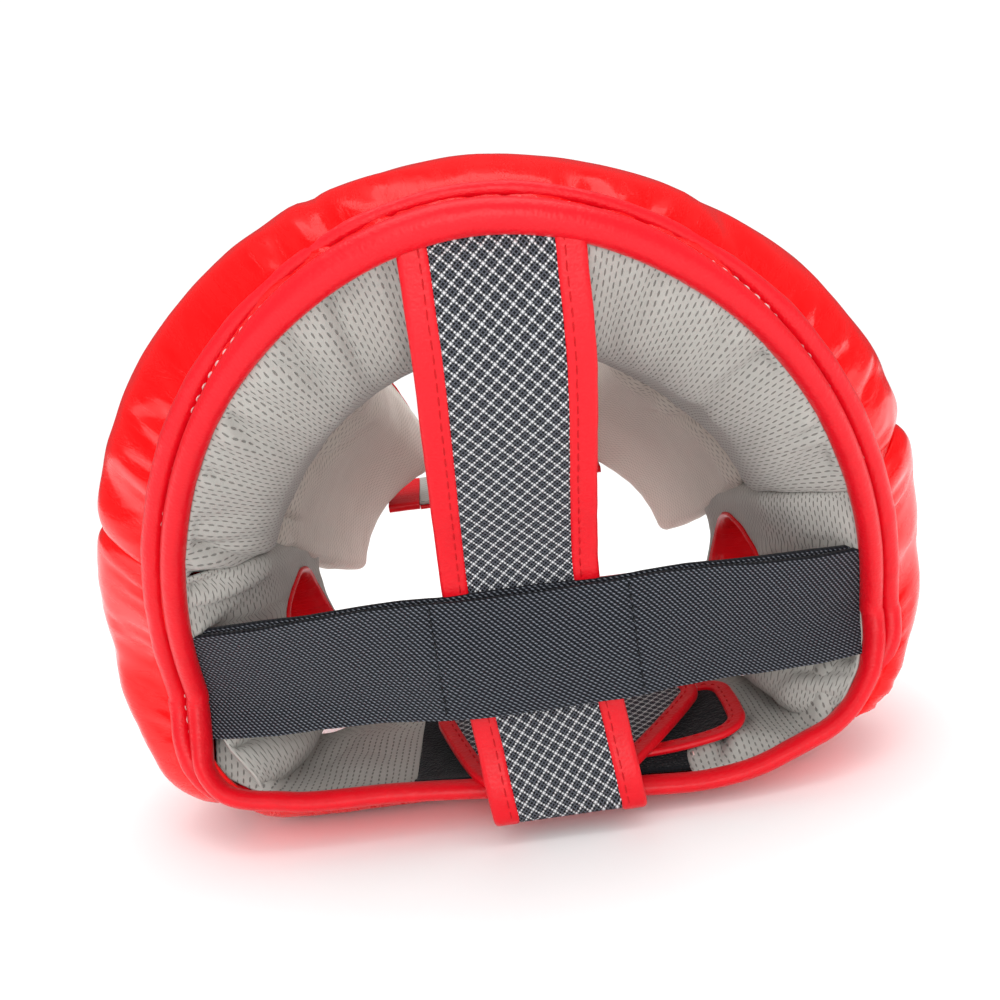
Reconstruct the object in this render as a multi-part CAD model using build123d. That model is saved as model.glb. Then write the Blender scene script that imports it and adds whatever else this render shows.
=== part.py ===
"""Boxing headgear resting on its back: padded leather shell, straps and linings.

Frame: +X is the wearer's right, +Y runs from the crown to the chin, +Z runs from the
back of the head to the face.  All lengths are millimetres.  The finished model is moved
so that its origin is the centre of its bounding box's bottom face.
"""
import math
import os

from build123d import *

# ---------------------------------------------------------------- driving dimensions
RIM_TOP_Z = 171.0            # inside of the rim at the forehead
RIM_CENTRE_Z = 50.0          # height of the widest part of the rim
RIM_SETBACK = 67.0           # how far the rim's sides sit behind its forehead edge
BINDING = 9.0                # width of the rolled leather binding
RIM_INNER = (105.0, RIM_TOP_Z - RIM_CENTRE_Z, RIM_CENTRE_Z)
RIM_OUTER = (105.0 + BINDING, RIM_TOP_Z - RIM_CENTRE_Z + BINDING, RIM_CENTRE_Z)
LOWER_RIM_LEAN = 17.0 / 41.0  # forward lean of the rim below its widest part
CORNER_OUTER, CORNER_INNER = 26.0, 17.0

# An oval is (half width, half height, centre height); a station is (outer, inner) ovals.
RIM = (RIM_OUTER, RIM_INNER)
FULL = ((129.0, 124.0, 68.0), (84.0, 88.0, 60.0))
JAW = ((120.0, 108.0, 66.0), (78.0, 72.0, 58.0))
CHIN = ((88.0, 72.0, 62.0), (64.0, 46.0, 56.0))

TAPER_START = 5.0            # pad begins this far behind the rim plane
TAPER_END = 30.0             # pad reaches full thickness here
BROW_Y = 88.0                # face edge of the forehead pad
JAW_Y = 158.0
CHIN_Y = 208.0

FOREHEAD_SEAM = 20.5         # oval angle where the forehead pad meets the side pads
SIDE_TOP = 19.5
SIDE_FOOT = -34.0
CHEEK_FACE_EDGE = 60.0       # oval angle of the cheek pad's face edge
CHEEK_FOOT = 3.0
SIDE_FLOOR_Z = 16.2          # side pads stop here, above the rear panel

COVER = 2.0                  # leather thickness in the shells
LINING = 2.0
GAP = 0.2                    # clearance between separate layers

EAR_Y, EAR_Z = 117.0, 52.0
EAR_HALF_LENGTH, EAR_HALF_HEIGHT = 27.0, 27.0
EAR_RING = 2.2

REAR_START_Y = 56.5
REAR_BEND_Y = 118.0
REAR_BEND_RADIUS = 52.0
REAR_BEND_ANGLE = 86.0
REAR_THICKNESS = 12.0
REAR_HALF_WIDTH = 103.0
NECK_HALF_WIDTH = 65.0
LOOP_PANEL_HALF_WIDTH = 44.0

ELASTIC_LOW_Z, ELASTIC_HIGH_Z = 37.0, 72.0
ELASTIC_THICKNESS = 1.6
ELASTIC_END = (101.6, 57.5)
CHANNEL_HALF_WIDTH = 29.0
CHANNEL_FRONT_Y = 33.5

STRAP_MESH_HALF_WIDTH = 15.3
STRAP_HALF_WIDTH = 23.0
STRAP_THICKNESS = 3.0
STRAP_FOLD = (34.5, 9.0)     # front of the strap where its fold begins
FOLD_SLACK = 0.4
STRAP_ROUTE = ((1.0, 167.6), (1.0, 149.0), (7.0, 133.0), (36.0, 84.0), (38.0, 72.0),
               (38.0, 30.0), (STRAP_FOLD[0], STRAP_FOLD[1] - 0.1))
STRAP_BENDS = (25.0, 20.0, 12.0, 30.0, 30.0)

TAIL_PITCH = 7.5             # degrees that the tail rises away from the fold
TAIL_HINGE = (44.0, 12.6)
TAIL_OUTLINE = ((-23, 1), (23, 1), (57, 50), (48, 66), (-28, 66), (-38, 52))
TAIL_CORNER = 7.0
TAIL_BINDING = 5.5
TAIL_THICKNESS = 3.0
FLAP_PITCH = 3.0
FLAP_OUTLINE = ((12, 14), (50, 14), (64, 24), (66, 50), (56, 62), (12, 62))
FLAP_CORNER = 6.0
FLAP_BINDING = 5.0
FLAP_THICKNESS = 2.0

CHIN_STRAP_TILT = 15.0
CHIN_STRAP_WIDTH = 33.0
CHIN_STRAP_FRONT = (196.0, 85.0)
CHIN_HINGE_X = -38.0
CHIN_ANCHOR_X = 30.0

BIG = 400.0
ALONG = Vector(0, 1, 0)
SETBACK_SLOPE = RIM_SETBACK / (RIM_TOP_Z - RIM_CENTRE_Z)
TILT = math.atan(SETBACK_SLOPE)


# ---------------------------------------------------------------- sections and solids
def upright(y):
    """Section plane across the head at depth y; local x is +X and local y is +Z."""
    return lambda z: Plane(origin=(0, y, z), x_dir=(1, 0, 0), z_dir=(0, -1, 0)), 1.0


def raked(shift):
    """Section plane parallel to the raked rim, shift behind it."""
    def place(z):
        y = RIM_SETBACK - (z - RIM_CENTRE_Z) * SETBACK_SLOPE + shift
        normal = (0, -math.cos(TILT), -math.sin(TILT))
        return Plane(origin=(0, y, z), x_dir=(1, 0, 0), z_dir=normal)
    return place, 1.0 / math.cos(TILT)


def oval_arc(section, oval, start, end):
    """Arc of an oval, given by its shape as seen along +Y."""
    place, stretch = section
    half_width, half_height, centre_z = oval
    return Edge.make_ellipse(half_width, half_height * stretch, place(centre_z), start, end)


def band_face(section, outer, inner, start, end):
    """Closed band between two oval arcs."""
    outside = oval_arc(section, outer, start, end)
    inside = oval_arc(section, inner, start, end)
    first = Edge.make_line(outside @ 0, inside @ 0)
    last = Edge.make_line(outside @ 1, inside @ 1)
    return Face(Wire([outside, last, inside, first]))


def grown(oval, amount):
    """Oval moved outwards by amount."""
    return (oval[0] + amount, oval[1] + amount, oval[2])


def layer_ovals(station, layer):
    """Outer and inner ovals of one layer of the pad at a station."""
    outer, inner = station
    if layer == "cover":
        return outer, grown(outer, -COVER)
    if layer == "lining":
        return grown(inner, LINING), inner
    if layer == "whole":
        return outer, inner
    return grown(outer, -COVER - GAP), grown(inner, LINING + GAP)


def padded_run(layer, *stops):
    """Layer solid lofted through stops: (section, station, start angle, end angle)."""
    wires = []
    for section, station, start, end in stops:
        face = band_face(section, *layer_ovals(station, layer), start, end)
        wires.append(face.outer_wire())
    return Solid.make_loft(wires, ruled=True)


def block(x_range, y_range, z_range):
    """Box between two corners."""
    size = [b - a for a, b in (x_range, y_range, z_range)]
    centre = [(a + b) / 2 for a, b in (x_range, y_range, z_range)]
    return Pos(*centre) * Box(*size)


def both_sides(name, solid):
    """A right-hand piece and its mirror image."""
    return {name + "_right": solid, name + "_left": mirror(solid, about=Plane.YZ)}


# ---------------------------------------------------------------- padded shell
def forehead(layer):
    """Forehead pad: tapers to the rim, full thickness back to the brow edge."""
    seam = (FOREHEAD_SEAM, 180.0 - FOREHEAD_SEAM)
    return padded_run(
        layer,
        (raked(TAPER_START), RIM, *seam),
        (raked(TAPER_END), FULL, *seam),
        (upright(BROW_Y), FULL, *seam),
    )


def ear_hole(margin=0.0):
    """Oval passage through the side pad at the ear."""
    plane = Plane(origin=(0, EAR_Y, EAR_Z), x_dir=(0, 1, 0), z_dir=(1, 0, 0))
    oval = plane * Ellipse(EAR_HALF_LENGTH + margin, EAR_HALF_HEIGHT + margin)
    return extrude(oval, BIG)


def side_run(layer):
    """Side pad before its ear hole is cut."""
    reach = (SIDE_FOOT, SIDE_TOP)
    return padded_run(
        layer,
        (raked(TAPER_START), RIM, *reach),
        (raked(TAPER_END), FULL, *reach),
        (upright(JAW_Y - 0.5), JAW, *reach),
    )


def side(layer):
    """Side pad over the ear, above the rear panel."""
    above_panel = block((0, BIG), (-BIG, BIG), (SIDE_FLOOR_Z, BIG))
    trimmed = side_run(layer) & above_panel
    return trimmed - ear_hole(GAP)


def ear_ring():
    """Leather-wrapped wall of the ear hole, cut flush with the pad's two faces."""
    tube = ear_hole() - ear_hole(-EAR_RING)
    return tube & side_run("whole")


def cheek(layer):
    """Cheek pad: from the temple down to the chin, closing in towards the jaw."""
    temple = (FOREHEAD_SEAM, CHEEK_FACE_EDGE)
    return padded_run(
        layer,
        (upright(BROW_Y + 1.0), FULL, *temple),
        (upright(JAW_Y), JAW, *temple),
        (upright(CHIN_Y), CHIN, CHEEK_FOOT, CHEEK_FACE_EDGE),
    )


# ---------------------------------------------------------------- rear panel
def rear_slab(low, high, x_range):
    """Layer of the rear panel between two heights: flat, then bent up to the neck."""
    x_start, x_end = x_range
    flat = block(x_range, (REAR_START_Y, REAR_BEND_Y), (low, high))
    neck_start = max(x_start, -NECK_HALF_WIDTH)
    neck_end = min(x_end, NECK_HALF_WIDTH)
    plane = Plane(origin=(neck_start, REAR_BEND_Y, REAR_BEND_RADIUS), x_dir=(0, 1, 0),
                  z_dir=(1, 0, 0))
    arcs = []
    for height in (low, high):
        radius = REAR_BEND_RADIUS - height
        arcs.append(Edge.make_circle(radius, plane, -90, -90 + REAR_BEND_ANGLE))
    first = Edge.make_line(arcs[0] @ 0, arcs[1] @ 0)
    last = Edge.make_line(arcs[0] @ 1, arcs[1] @ 1)
    bend = extrude(Face(Wire([arcs[0], last, arcs[1], first])), neck_end - neck_start,
                   dir=(1, 0, 0))
    return flat + bend


def rear_panel():
    """Cover, foam, the black loop panel and the lining on each side of it."""
    full = (-REAR_HALF_WIDTH, REAR_HALF_WIDTH)
    top = REAR_THICKNESS
    lining_from = top - LINING
    loop = (-LOOP_PANEL_HALF_WIDTH, LOOP_PANEL_HALF_WIDTH)
    beside = (LOOP_PANEL_HALF_WIDTH + 0.3, REAR_HALF_WIDTH)
    nodes = {
        "rear_cover": rear_slab(0.0, COVER, full),
        "rear_core": rear_slab(COVER + GAP, lining_from - GAP, full),
        "rear_loop_panel": rear_slab(lining_from, top, loop),
    }
    nodes.update(both_sides("rear_lining", rear_slab(lining_from, top, beside)))
    return nodes


# ---------------------------------------------------------------- bindings
def crown_binding():
    """Rolled binding all round the crown opening, flat where it rests."""
    half = BINDING / 2
    arch_face = band_face(raked(-half), RIM_OUTER, RIM_INNER, 0, 180)
    arch = extrude(arch_face, BINDING, dir=ALONG)
    stretch = math.hypot(1, LOWER_RIM_LEAN)
    plane = Plane(origin=(0, RIM_SETBACK - half, RIM_CENTRE_Z), x_dir=(1, 0, 0),
                  z_dir=(0, -1, LOWER_RIM_LEAN))
    drop = RIM_CENTRE_Z * stretch
    wide = RIM_OUTER[0]
    outer = Pos(0, -drop / 2) * Rectangle(2 * wide, drop)
    outer = fillet(outer.vertices().sort_by(Axis.Y)[:2], CORNER_OUTER)
    inner_drop = (RIM_CENTRE_Z - BINDING) * stretch
    inner = Pos(0, -inner_drop / 2) * Rectangle(2 * RIM_INNER[0], inner_drop)
    inner = fillet(inner.vertices().sort_by(Axis.Y)[:2], CORNER_INNER)
    cradle = extrude(plane * (outer - inner), BINDING, dir=ALONG)
    return arch + cradle


def crown_welt():
    """Thin corded seam just outside the binding, from side to side over the forehead."""
    inner = grown(RIM_OUTER, 0.5)
    outer = grown(inner, 3.5)
    return extrude(band_face(raked(-0.5), outer, inner, 6, 174), 4.5, dir=ALONG)


def brow_binding():
    """Leather edging on the lining side of the forehead pad's face edge."""
    inner = FULL[1]
    face = band_face(upright(BROW_Y + 0.2), grown(inner, 5.0), inner, 61, 119)
    return extrude(face, 4.0, dir=ALONG)


def neck_binding():
    """Leather edging along the rear panel's neck edge."""
    angle = math.radians(REAR_BEND_ANGLE + 1.5)
    middle = REAR_BEND_RADIUS - REAR_THICKNESS / 2
    y = REAR_BEND_Y + middle * math.sin(angle)
    z = REAR_BEND_RADIUS - middle * math.cos(angle)
    strip = Box(2 * NECK_HALF_WIDTH, 4.0, REAR_THICKNESS)
    return Pos(0, y, z) * Rot(REAR_BEND_ANGLE + 1.5, 0, 0) * Pos(0, 2.0, 0) * strip


# ---------------------------------------------------------------- elastic and crown strap
def elastic_face(channel_y, step, end_depth):
    """Plan outline of one elastic layer, wall by wall from end to end."""
    end_x, end_y = ELASTIC_END
    side_y = CHANNEL_FRONT_Y + step
    inner_x = CHANNEL_HALF_WIDTH - (channel_y - side_y) / 3
    front = [(end_x, end_y + end_depth), (CHANNEL_HALF_WIDTH, side_y), (inner_x, channel_y)]
    if abs(channel_y - side_y) < 0.01:
        front = front[:2]
    outline = front + [(-x, y) for x, y in reversed(front)]
    back = [(x, y + ELASTIC_THICKNESS) for x, y in reversed(outline)]
    return make_face(Polyline(*outline, *back, close=True))


def elastic(channel_y, step, end_depth):
    """Elastic webbing layer standing on edge across the crown opening."""
    sheet = Pos(0, 0, ELASTIC_LOW_Z) * elastic_face(channel_y, step, end_depth)
    return extrude(sheet, ELASTIC_HIGH_Z - ELASTIC_LOW_Z, dir=(0, 0, 1))


def strap_route(thickness):
    """Side outline of the crown strap from the forehead rim down to its fold."""
    front = Plane.YZ * FilletPolyline(*STRAP_ROUTE, radius=list(STRAP_BENDS))
    back = Pos(0, thickness, 0) * front
    ends = [Edge.make_line(front @ t, back @ t) for t in (0, 1)]
    return Face(Wire([*front.edges(), ends[1], *back.edges(), ends[0]]))


def strap_fold(thickness):
    """Side outline of the fold in front of the rear rim, returning over the binding."""
    front_y, top_z = STRAP_FOLD
    centre_y = front_y + thickness + FOLD_SLACK
    turn = Circle(thickness + FOLD_SLACK) - Circle(FOLD_SLACK)
    half = turn & Pos(0, -BIG / 2) * Rectangle(BIG, BIG)
    riser = Pos(FOLD_SLACK + thickness / 2, 1.2) * Rectangle(thickness, 2.6)
    return Plane.YZ * Pos(centre_y, top_z) * (half + riser)


def strap_piece(x_range, thickness):
    """Strap solid between two X values, with its fold."""
    x_start, x_end = x_range
    run = extrude(strap_route(thickness), x_end - x_start, dir=(1, 0, 0))
    fold = extrude(strap_fold(thickness), x_end - x_start, dir=(1, 0, 0))
    return Pos(x_start, 0, 0) * (run + fold)


def crown_strap():
    """Spacer-mesh strap with a rolled piping along each edge."""
    nodes = {"crown_strap": strap_piece((-STRAP_MESH_HALF_WIDTH, STRAP_MESH_HALF_WIDTH),
                                        STRAP_THICKNESS)}
    edge = (STRAP_MESH_HALF_WIDTH + GAP, STRAP_HALF_WIDTH)
    nodes.update(both_sides("strap_piping", strap_piece(edge, STRAP_THICKNESS)))
    return nodes


def pitched(height, pitch):
    """Plane at the tail's hinge, rising towards the chin by pitch degrees."""
    turn = math.radians(pitch)
    return Plane(origin=(0, TAIL_HINGE[0], height), x_dir=(1, 0, 0),
                 z_dir=(0, -math.sin(turn), math.cos(turn)))


def bound_panel(plane, outline, binding, thickness):
    """A cloth panel and the binding round it, from an outline on a plane."""
    cloth = offset(outline, -binding)
    edge = outline - offset(outline, -binding + GAP)
    return extrude(plane * cloth, thickness), extrude(plane * edge, thickness)


def strap_tail():
    """Flared end of the strap on the rear panel, with its bound flap beneath."""
    tail = make_face(Polyline(*TAIL_OUTLINE, close=True))
    tail = fillet(tail.vertices().sort_by(Axis.Y)[2:], TAIL_CORNER)
    flap = make_face(Polyline(*FLAP_OUTLINE, close=True))
    flap = fillet(flap.vertices().sort_by(Axis.X)[2:], FLAP_CORNER)
    hinge_z = TAIL_HINGE[1]
    mesh, piping = bound_panel(pitched(hinge_z + 1.2, TAIL_PITCH), tail, TAIL_BINDING,
                               TAIL_THICKNESS)
    face, edge = bound_panel(pitched(hinge_z - 0.3, FLAP_PITCH), flap, FLAP_BINDING,
                             FLAP_THICKNESS)
    return {
        "strap_tail": mesh,
        "strap_tail_piping": piping,
        "strap_end_flap": face,
        "strap_end_binding": edge,
    }


# ---------------------------------------------------------------- chin strap
def chin_block(x_range, depth_range, height_range):
    """Box in the chin strap's tilted frame."""
    y, z = CHIN_STRAP_FRONT
    return Pos(0, y, z) * Rot(CHIN_STRAP_TILT, 0, 0) * block(x_range, depth_range, height_range)


def chin_strap():
    """Long strap that peels away, and the short anchored strap that it grips."""
    width = (0.0, CHIN_STRAP_WIDTH)
    inset = (4.0, CHIN_STRAP_WIDTH - 4.0)
    return {
        "chin_strap": chin_block((CHIN_HINGE_X, 24), width, (0.0, 1.8)),
        "chin_strap_lining": chin_block((CHIN_HINGE_X, 24), width, (2.0, 3.6)),
        "chin_hook_patch": chin_block((-10, 20), inset, (3.8, 4.8)),
        "chin_loop_patch": chin_block((-12, 22), inset, (5.2, 6.2)),
        "chin_anchor_strap": chin_block((-14, CHIN_ANCHOR_X), width, (6.4, 9.6)),
    }


# ---------------------------------------------------------------- assembly
def build():
    """Every node of the headgear, before it is moved to its origin."""
    nodes = {}
    for layer in ("cover", "core", "lining"):
        nodes["forehead_" + layer] = forehead(layer)
        nodes.update(both_sides("side_" + layer, side(layer)))
        nodes.update(both_sides("cheek_" + layer, cheek(layer)))
    nodes.update(both_sides("ear_ring", ear_ring()))
    nodes.update(rear_panel())
    nodes["crown_binding"] = crown_binding()
    nodes["crown_welt"] = crown_welt()
    nodes["brow_binding"] = brow_binding()
    nodes["neck_binding"] = neck_binding()
    channel_back = CHANNEL_FRONT_Y + 9.5
    nodes["elastic_front"] = elastic(CHANNEL_FRONT_Y, 0.0, 0.0)
    nodes["elastic_back"] = elastic(channel_back, ELASTIC_THICKNESS + 0.3, ELASTIC_THICKNESS + 0.3)
    nodes.update(crown_strap())
    nodes.update(strap_tail())
    nodes.update(chin_strap())
    return nodes


def main():
    """Build the headgear, move it to its origin and write one file for each node."""
    os.makedirs("parts", exist_ok=True)
    nodes = build()
    extent = Compound(children=[Part() + solid for solid in nodes.values()]).bounding_box()
    shift = Vector(-(extent.min.X + extent.max.X) / 2, -(extent.min.Y + extent.max.Y) / 2,
                   -extent.min.Z)
    for name, solid in nodes.items():
        export_step(Pos(*shift) * (Part() + solid), f"parts/{name}.step")
    hinges = {
        "strap_tail": Vector(0, *TAIL_HINGE),
        "chin_strap": Vector(CHIN_HINGE_X, *CHIN_STRAP_FRONT),
    }
    print("size", extent.size, "shift", shift)
    for name, point in hinges.items():
        print("hinge", name, point + shift)


main()
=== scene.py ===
"""Boxing headgear resting on its back, seen from the crown.

Lengths in the classes are millimetres in the head frame: x to the wearer's right, y from the
crown towards the chin, z from the back of the head to the face.  HeadFrame turns them into
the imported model's metres.
"""

import logging
import math
from dataclasses import dataclass, field
from enum import Enum
from typing import Sequence

import bmesh
import bpy
import numpy as np
from mathutils import Euler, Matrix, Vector


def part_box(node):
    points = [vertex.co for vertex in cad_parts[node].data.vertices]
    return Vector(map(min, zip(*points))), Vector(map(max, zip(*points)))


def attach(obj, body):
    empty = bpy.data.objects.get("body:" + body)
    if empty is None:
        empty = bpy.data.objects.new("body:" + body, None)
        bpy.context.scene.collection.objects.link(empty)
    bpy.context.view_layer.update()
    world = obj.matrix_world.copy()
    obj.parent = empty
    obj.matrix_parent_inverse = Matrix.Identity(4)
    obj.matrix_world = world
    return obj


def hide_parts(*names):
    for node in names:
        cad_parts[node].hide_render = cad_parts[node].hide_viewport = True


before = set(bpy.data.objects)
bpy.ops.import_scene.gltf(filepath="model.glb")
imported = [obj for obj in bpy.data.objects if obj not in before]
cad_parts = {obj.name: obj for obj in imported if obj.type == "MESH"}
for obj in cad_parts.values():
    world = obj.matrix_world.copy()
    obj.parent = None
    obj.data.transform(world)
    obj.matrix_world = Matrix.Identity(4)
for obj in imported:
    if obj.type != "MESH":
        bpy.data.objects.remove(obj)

LOG = logging.getLogger("headgear")
MM = 0.001
MEAN_RADIUS = 118.0  # of the pads' outer face, to turn oval angles into lengths
REAR_COVER_Y = 56.5
MIRROR = (-1.0, 1.0, 1.0)  # turns a right-hand piece into a left-hand one
Grid = np.ndarray


class Side(Enum):
    """Which side of the wearer a piece belongs to."""

    LEFT = -1.0
    RIGHT = 1.0

    @property
    def label(self) -> str:
        """Lower-case word used in piece names."""
        return self.name.lower()


class Body(str, Enum):
    """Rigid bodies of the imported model."""

    SHELL = "shell"
    TAIL = "strap_tail"
    CHIN = "chin_strap"


# ------------------------------------------------------------------ head frame and curves
@dataclass(frozen=True)
class HeadFrame:
    """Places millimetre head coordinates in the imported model's frame.

    The soft shell has settled: it leans a little to the wearer's left above lean_from.
    """

    origin_y: float
    settle: float = 1.6
    lean: float = 0.035
    lean_from: float = 30.0

    @classmethod
    def from_nodes(cls) -> "HeadFrame":
        """Read the head frame's origin from the rear cover's crown edge.

        Returns:
            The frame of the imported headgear.
        """
        return cls(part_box("rear_cover")[0].y / MM - REAR_COVER_Y)

    def to_row(self, points: Grid) -> Grid:
        """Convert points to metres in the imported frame.

        Args:
            points: Array whose last axis is x, y, z in millimetres.

        Returns:
            The same points in metres.
        """
        points = np.asarray(points, float)
        shifted = points + (0.0, self.origin_y, 0.0)
        high = np.clip(points[..., 2] - self.lean_from, 0.0, None)
        shifted[..., 0] += self.settle - self.lean * high
        return shifted * MM


@dataclass(frozen=True)
class Oval:
    """Ellipse across the head."""

    half_width: float
    half_height: float
    centre_z: float
    fullness: float = 2.0

    def at(self, angle: Grid) -> tuple[Grid, Grid]:
        """X and Z at an oval angle in degrees, counted from the wearer's right."""
        turn = np.radians(angle)
        flat = (np.abs(np.cos(turn)) ** self.fullness + np.abs(np.sin(turn)) ** self.fullness)
        reach = flat ** (-1.0 / self.fullness)
        return (self.half_width * reach * np.cos(turn),
                self.centre_z + self.half_height * reach * np.sin(turn))


def smoothstep(low: float, high: float, value: Grid) -> Grid:
    """Ease from 0 at low to 1 at high."""
    share = np.clip((np.asarray(value, float) - low) / (high - low), 0.0, 1.0)
    return share * share * (3.0 - 2.0 * share)


def hermite(where: Grid, stops: Sequence[float], values: Sequence[float]) -> Grid:
    """Smooth curve through values at increasing stops.

    Args:
        where: Places to evaluate.
        stops: Increasing positions of the known values.
        values: Known values.

    Returns:
        The curve at each place.
    """
    xs, ys = np.asarray(stops, float), np.asarray(values, float)
    slopes = np.gradient(ys, xs)
    where = np.clip(where, xs[0], xs[-1])
    index = np.clip(np.searchsorted(xs, where, side="right") - 1, 0, len(xs) - 2)
    step = xs[index + 1] - xs[index]
    t = (where - xs[index]) / step
    return ((1 + 2 * t) * (1 - t) ** 2 * ys[index] + t * (1 - t) ** 2 * step * slopes[index]
            + t * t * (3 - 2 * t) * ys[index + 1] + t * t * (t - 1) * step * slopes[index + 1])


def wave_noise(seed: int, *coords: Grid, octaves: int = 4) -> Grid:
    """Smooth repeatable noise from summed sine waves, about -1 to 1.

    Args:
        seed: Chooses the pattern.
        coords: Coordinates, already divided by the wanted feature size.
        octaves: Number of finer copies added.

    Returns:
        Noise with the coordinates' broadcast shape.
    """
    rng = np.random.default_rng(seed)
    total = 0.0
    for octave in range(octaves):
        for _ in range(3):
            phase = rng.uniform(0, 2 * math.pi)
            weights = rng.normal(size=len(coords))
            weights *= 2.0 ** octave / np.linalg.norm(weights)
            wave = sum(w * c for w, c in zip(weights, coords))
            total = total + np.sin(2.2 * wave + phase) * 0.55 ** octave
    return total / 4.0


@dataclass(frozen=True)
class Rim:
    """Centre line of the crown opening's edge, a raked arch on a flat-bottomed cradle."""

    arch: Oval = Oval(109.0, 127.0, 50.0, 1.93)
    setback: float = 67.0
    rake: float = 67.0 / 121.0
    cradle_lean: float = 17.0 / 41.0
    corner: tuple[float, float] = (88.0, 26.0)
    corner_radius: float = 21.5
    corner_angle: float = -33.0
    blend: float = 2.5
    tuck: float = 6.5
    raised: tuple[tuple[float, float], ...] = (
        (-111.0, 8.0), (-92.0, 13.0), (-79.0, 11.5), (-51.0, 10.6), (-22.0, 8.5), (0.0, 6.3),
        (29.0, 3.5), (46.0, 2.9), (65.0, 5.0), (79.0, 8.5), (93.0, 12.0), (104.0, 12.5),
        (111.0, 11.0))

    def depth(self, z: Grid) -> Grid:
        """Y of the rim at height z: raked back above its widest part, forward below."""
        upper = self.setback - (z - self.arch.centre_z) * self.rake
        lower = self.setback - (self.arch.centre_z - z) * self.cradle_lean
        return -self.blend * np.logaddexp(-upper / self.blend, -lower / self.blend)

    def at(self, angle: Grid, outset: float = 0.0) -> tuple[Grid, Grid]:
        """X and Z of the rim moved outwards by outset.

        Args:
            angle: Degrees from -90 (middle of the rear) over the forehead to 270.
            outset: Distance outwards from the centre line.

        Returns:
            X and Z arrays.
        """
        angle = np.asarray(angle, float)
        sign = np.where(angle > 90.0, -1.0, 1.0)
        turn = np.where(angle > 90.0, 180.0 - angle, angle)
        grown = Oval(self.arch.half_width + outset, self.arch.half_height + outset,
                     self.arch.centre_z, self.arch.fullness)
        x, z = grown.at(turn)
        straight = self.arch.centre_z - self.corner[1]
        run = np.clip(turn / self.corner_angle, 0.0, 1.0) * (
            straight + self.corner_radius * math.pi / 2)
        bend = np.clip((run - straight) / self.corner_radius, 0.0, math.pi / 2)
        radius = self.corner_radius + outset
        across = np.clip((self.corner_angle - turn) / (90.0 + self.corner_angle), 0.0, 1.0)
        low_x = self.corner[0] * (1.0 - across) + radius * np.cos(bend)
        low_z = np.where(run < straight, self.arch.centre_z - run,
                         self.corner[1] - radius * np.sin(bend))
        low = turn < 0.0
        final_x, final_z = sign * np.where(low, low_x, x), np.where(low, low_z, z)
        foot = 1.0 - smoothstep(10.0, 54.0, final_z)
        final_z = final_z + self.lift(final_x) * (1.0 - smoothstep(14.0, 46.0, final_z))
        return final_x - self.tuck * foot * smoothstep(50.0, 104.0, final_x), final_z

    def lift(self, x: Grid) -> Grid:
        """How far the bottom of the opening has warped up off the cradle line."""
        return hermite(x, *zip(*self.raised))

    def bottom(self, x: Grid) -> Grid:
        """Height of the rim's centre line where it crosses the rear panel."""
        over = np.clip((np.abs(x) - self.corner[0]) / self.corner_radius, 0.0, 0.97)
        arc = self.corner[1] - self.corner_radius * np.sqrt(1.0 - over * over)
        return arc + self.lift(x)


@dataclass(frozen=True)
class HeadForm:
    """Outer and inner faces of the padded shell at each depth."""

    rim: Rim = Rim()
    stops: tuple[float, ...] = (40.0, 88.5, 158.0, 208.0)
    outer_sizes: tuple[tuple[float, ...], ...] = (
        (137.0, 134.0, 120.0, 88.0), (130.0, 128.0, 108.0, 72.0), (66.0, 66.0, 66.0, 62.0))
    inner_sizes: tuple[tuple[float, ...], ...] = (
        (84.0, 84.0, 78.0, 64.0), (88.0, 88.0, 72.0, 46.0), (60.0, 60.0, 58.0, 56.0))
    fullness: float = 1.9

    def face(self, sizes: tuple[tuple[float, ...], ...], angle: Grid, y: Grid
             ) -> tuple[Grid, Grid]:
        """X and Z of a face at an oval angle and depth."""
        width, height, centre = (hermite(y, self.stops, row) for row in sizes)
        fullness = self.fullness if sizes is self.outer_sizes else 2.0
        return Oval(width, height, centre, fullness).at(angle)


# ------------------------------------------------------------------ routes, sections, sweeps
def resample(points: Grid, step: float, closed: bool = False) -> Grid:
    """Even points along a smooth curve through a few points.

    Args:
        points: Points to pass through, shape (count, dimensions).
        step: Spacing of the result.
        closed: Whether the curve is a loop.

    Returns:
        The evenly spaced points.
    """
    points = np.asarray(points, float)
    if closed:
        points = np.concatenate([points[-2:], points, points[:3]])
    chord = run_along(points)
    fine = np.linspace(chord[2], chord[-3], 4000) if closed else np.linspace(0, chord[-1], 4000)
    curve = np.stack([hermite(fine, chord, column) for column in points.T], axis=1)
    length = run_along(curve)
    count = max(4, int(round(length[-1] / step)))
    even = np.linspace(0.0, length[-1], count, endpoint=not closed)
    return np.stack([np.interp(even, length, column) for column in curve.T], axis=1)


def oval_section(wide: float, thin: float, around: int = 20) -> Grid:
    """Half sizes of an oval section, as offsets along two directions."""
    turn = np.linspace(0.0, 2 * math.pi, around, endpoint=False)
    return np.stack([wide * np.cos(turn), thin * np.sin(turn)], axis=1)


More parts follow.
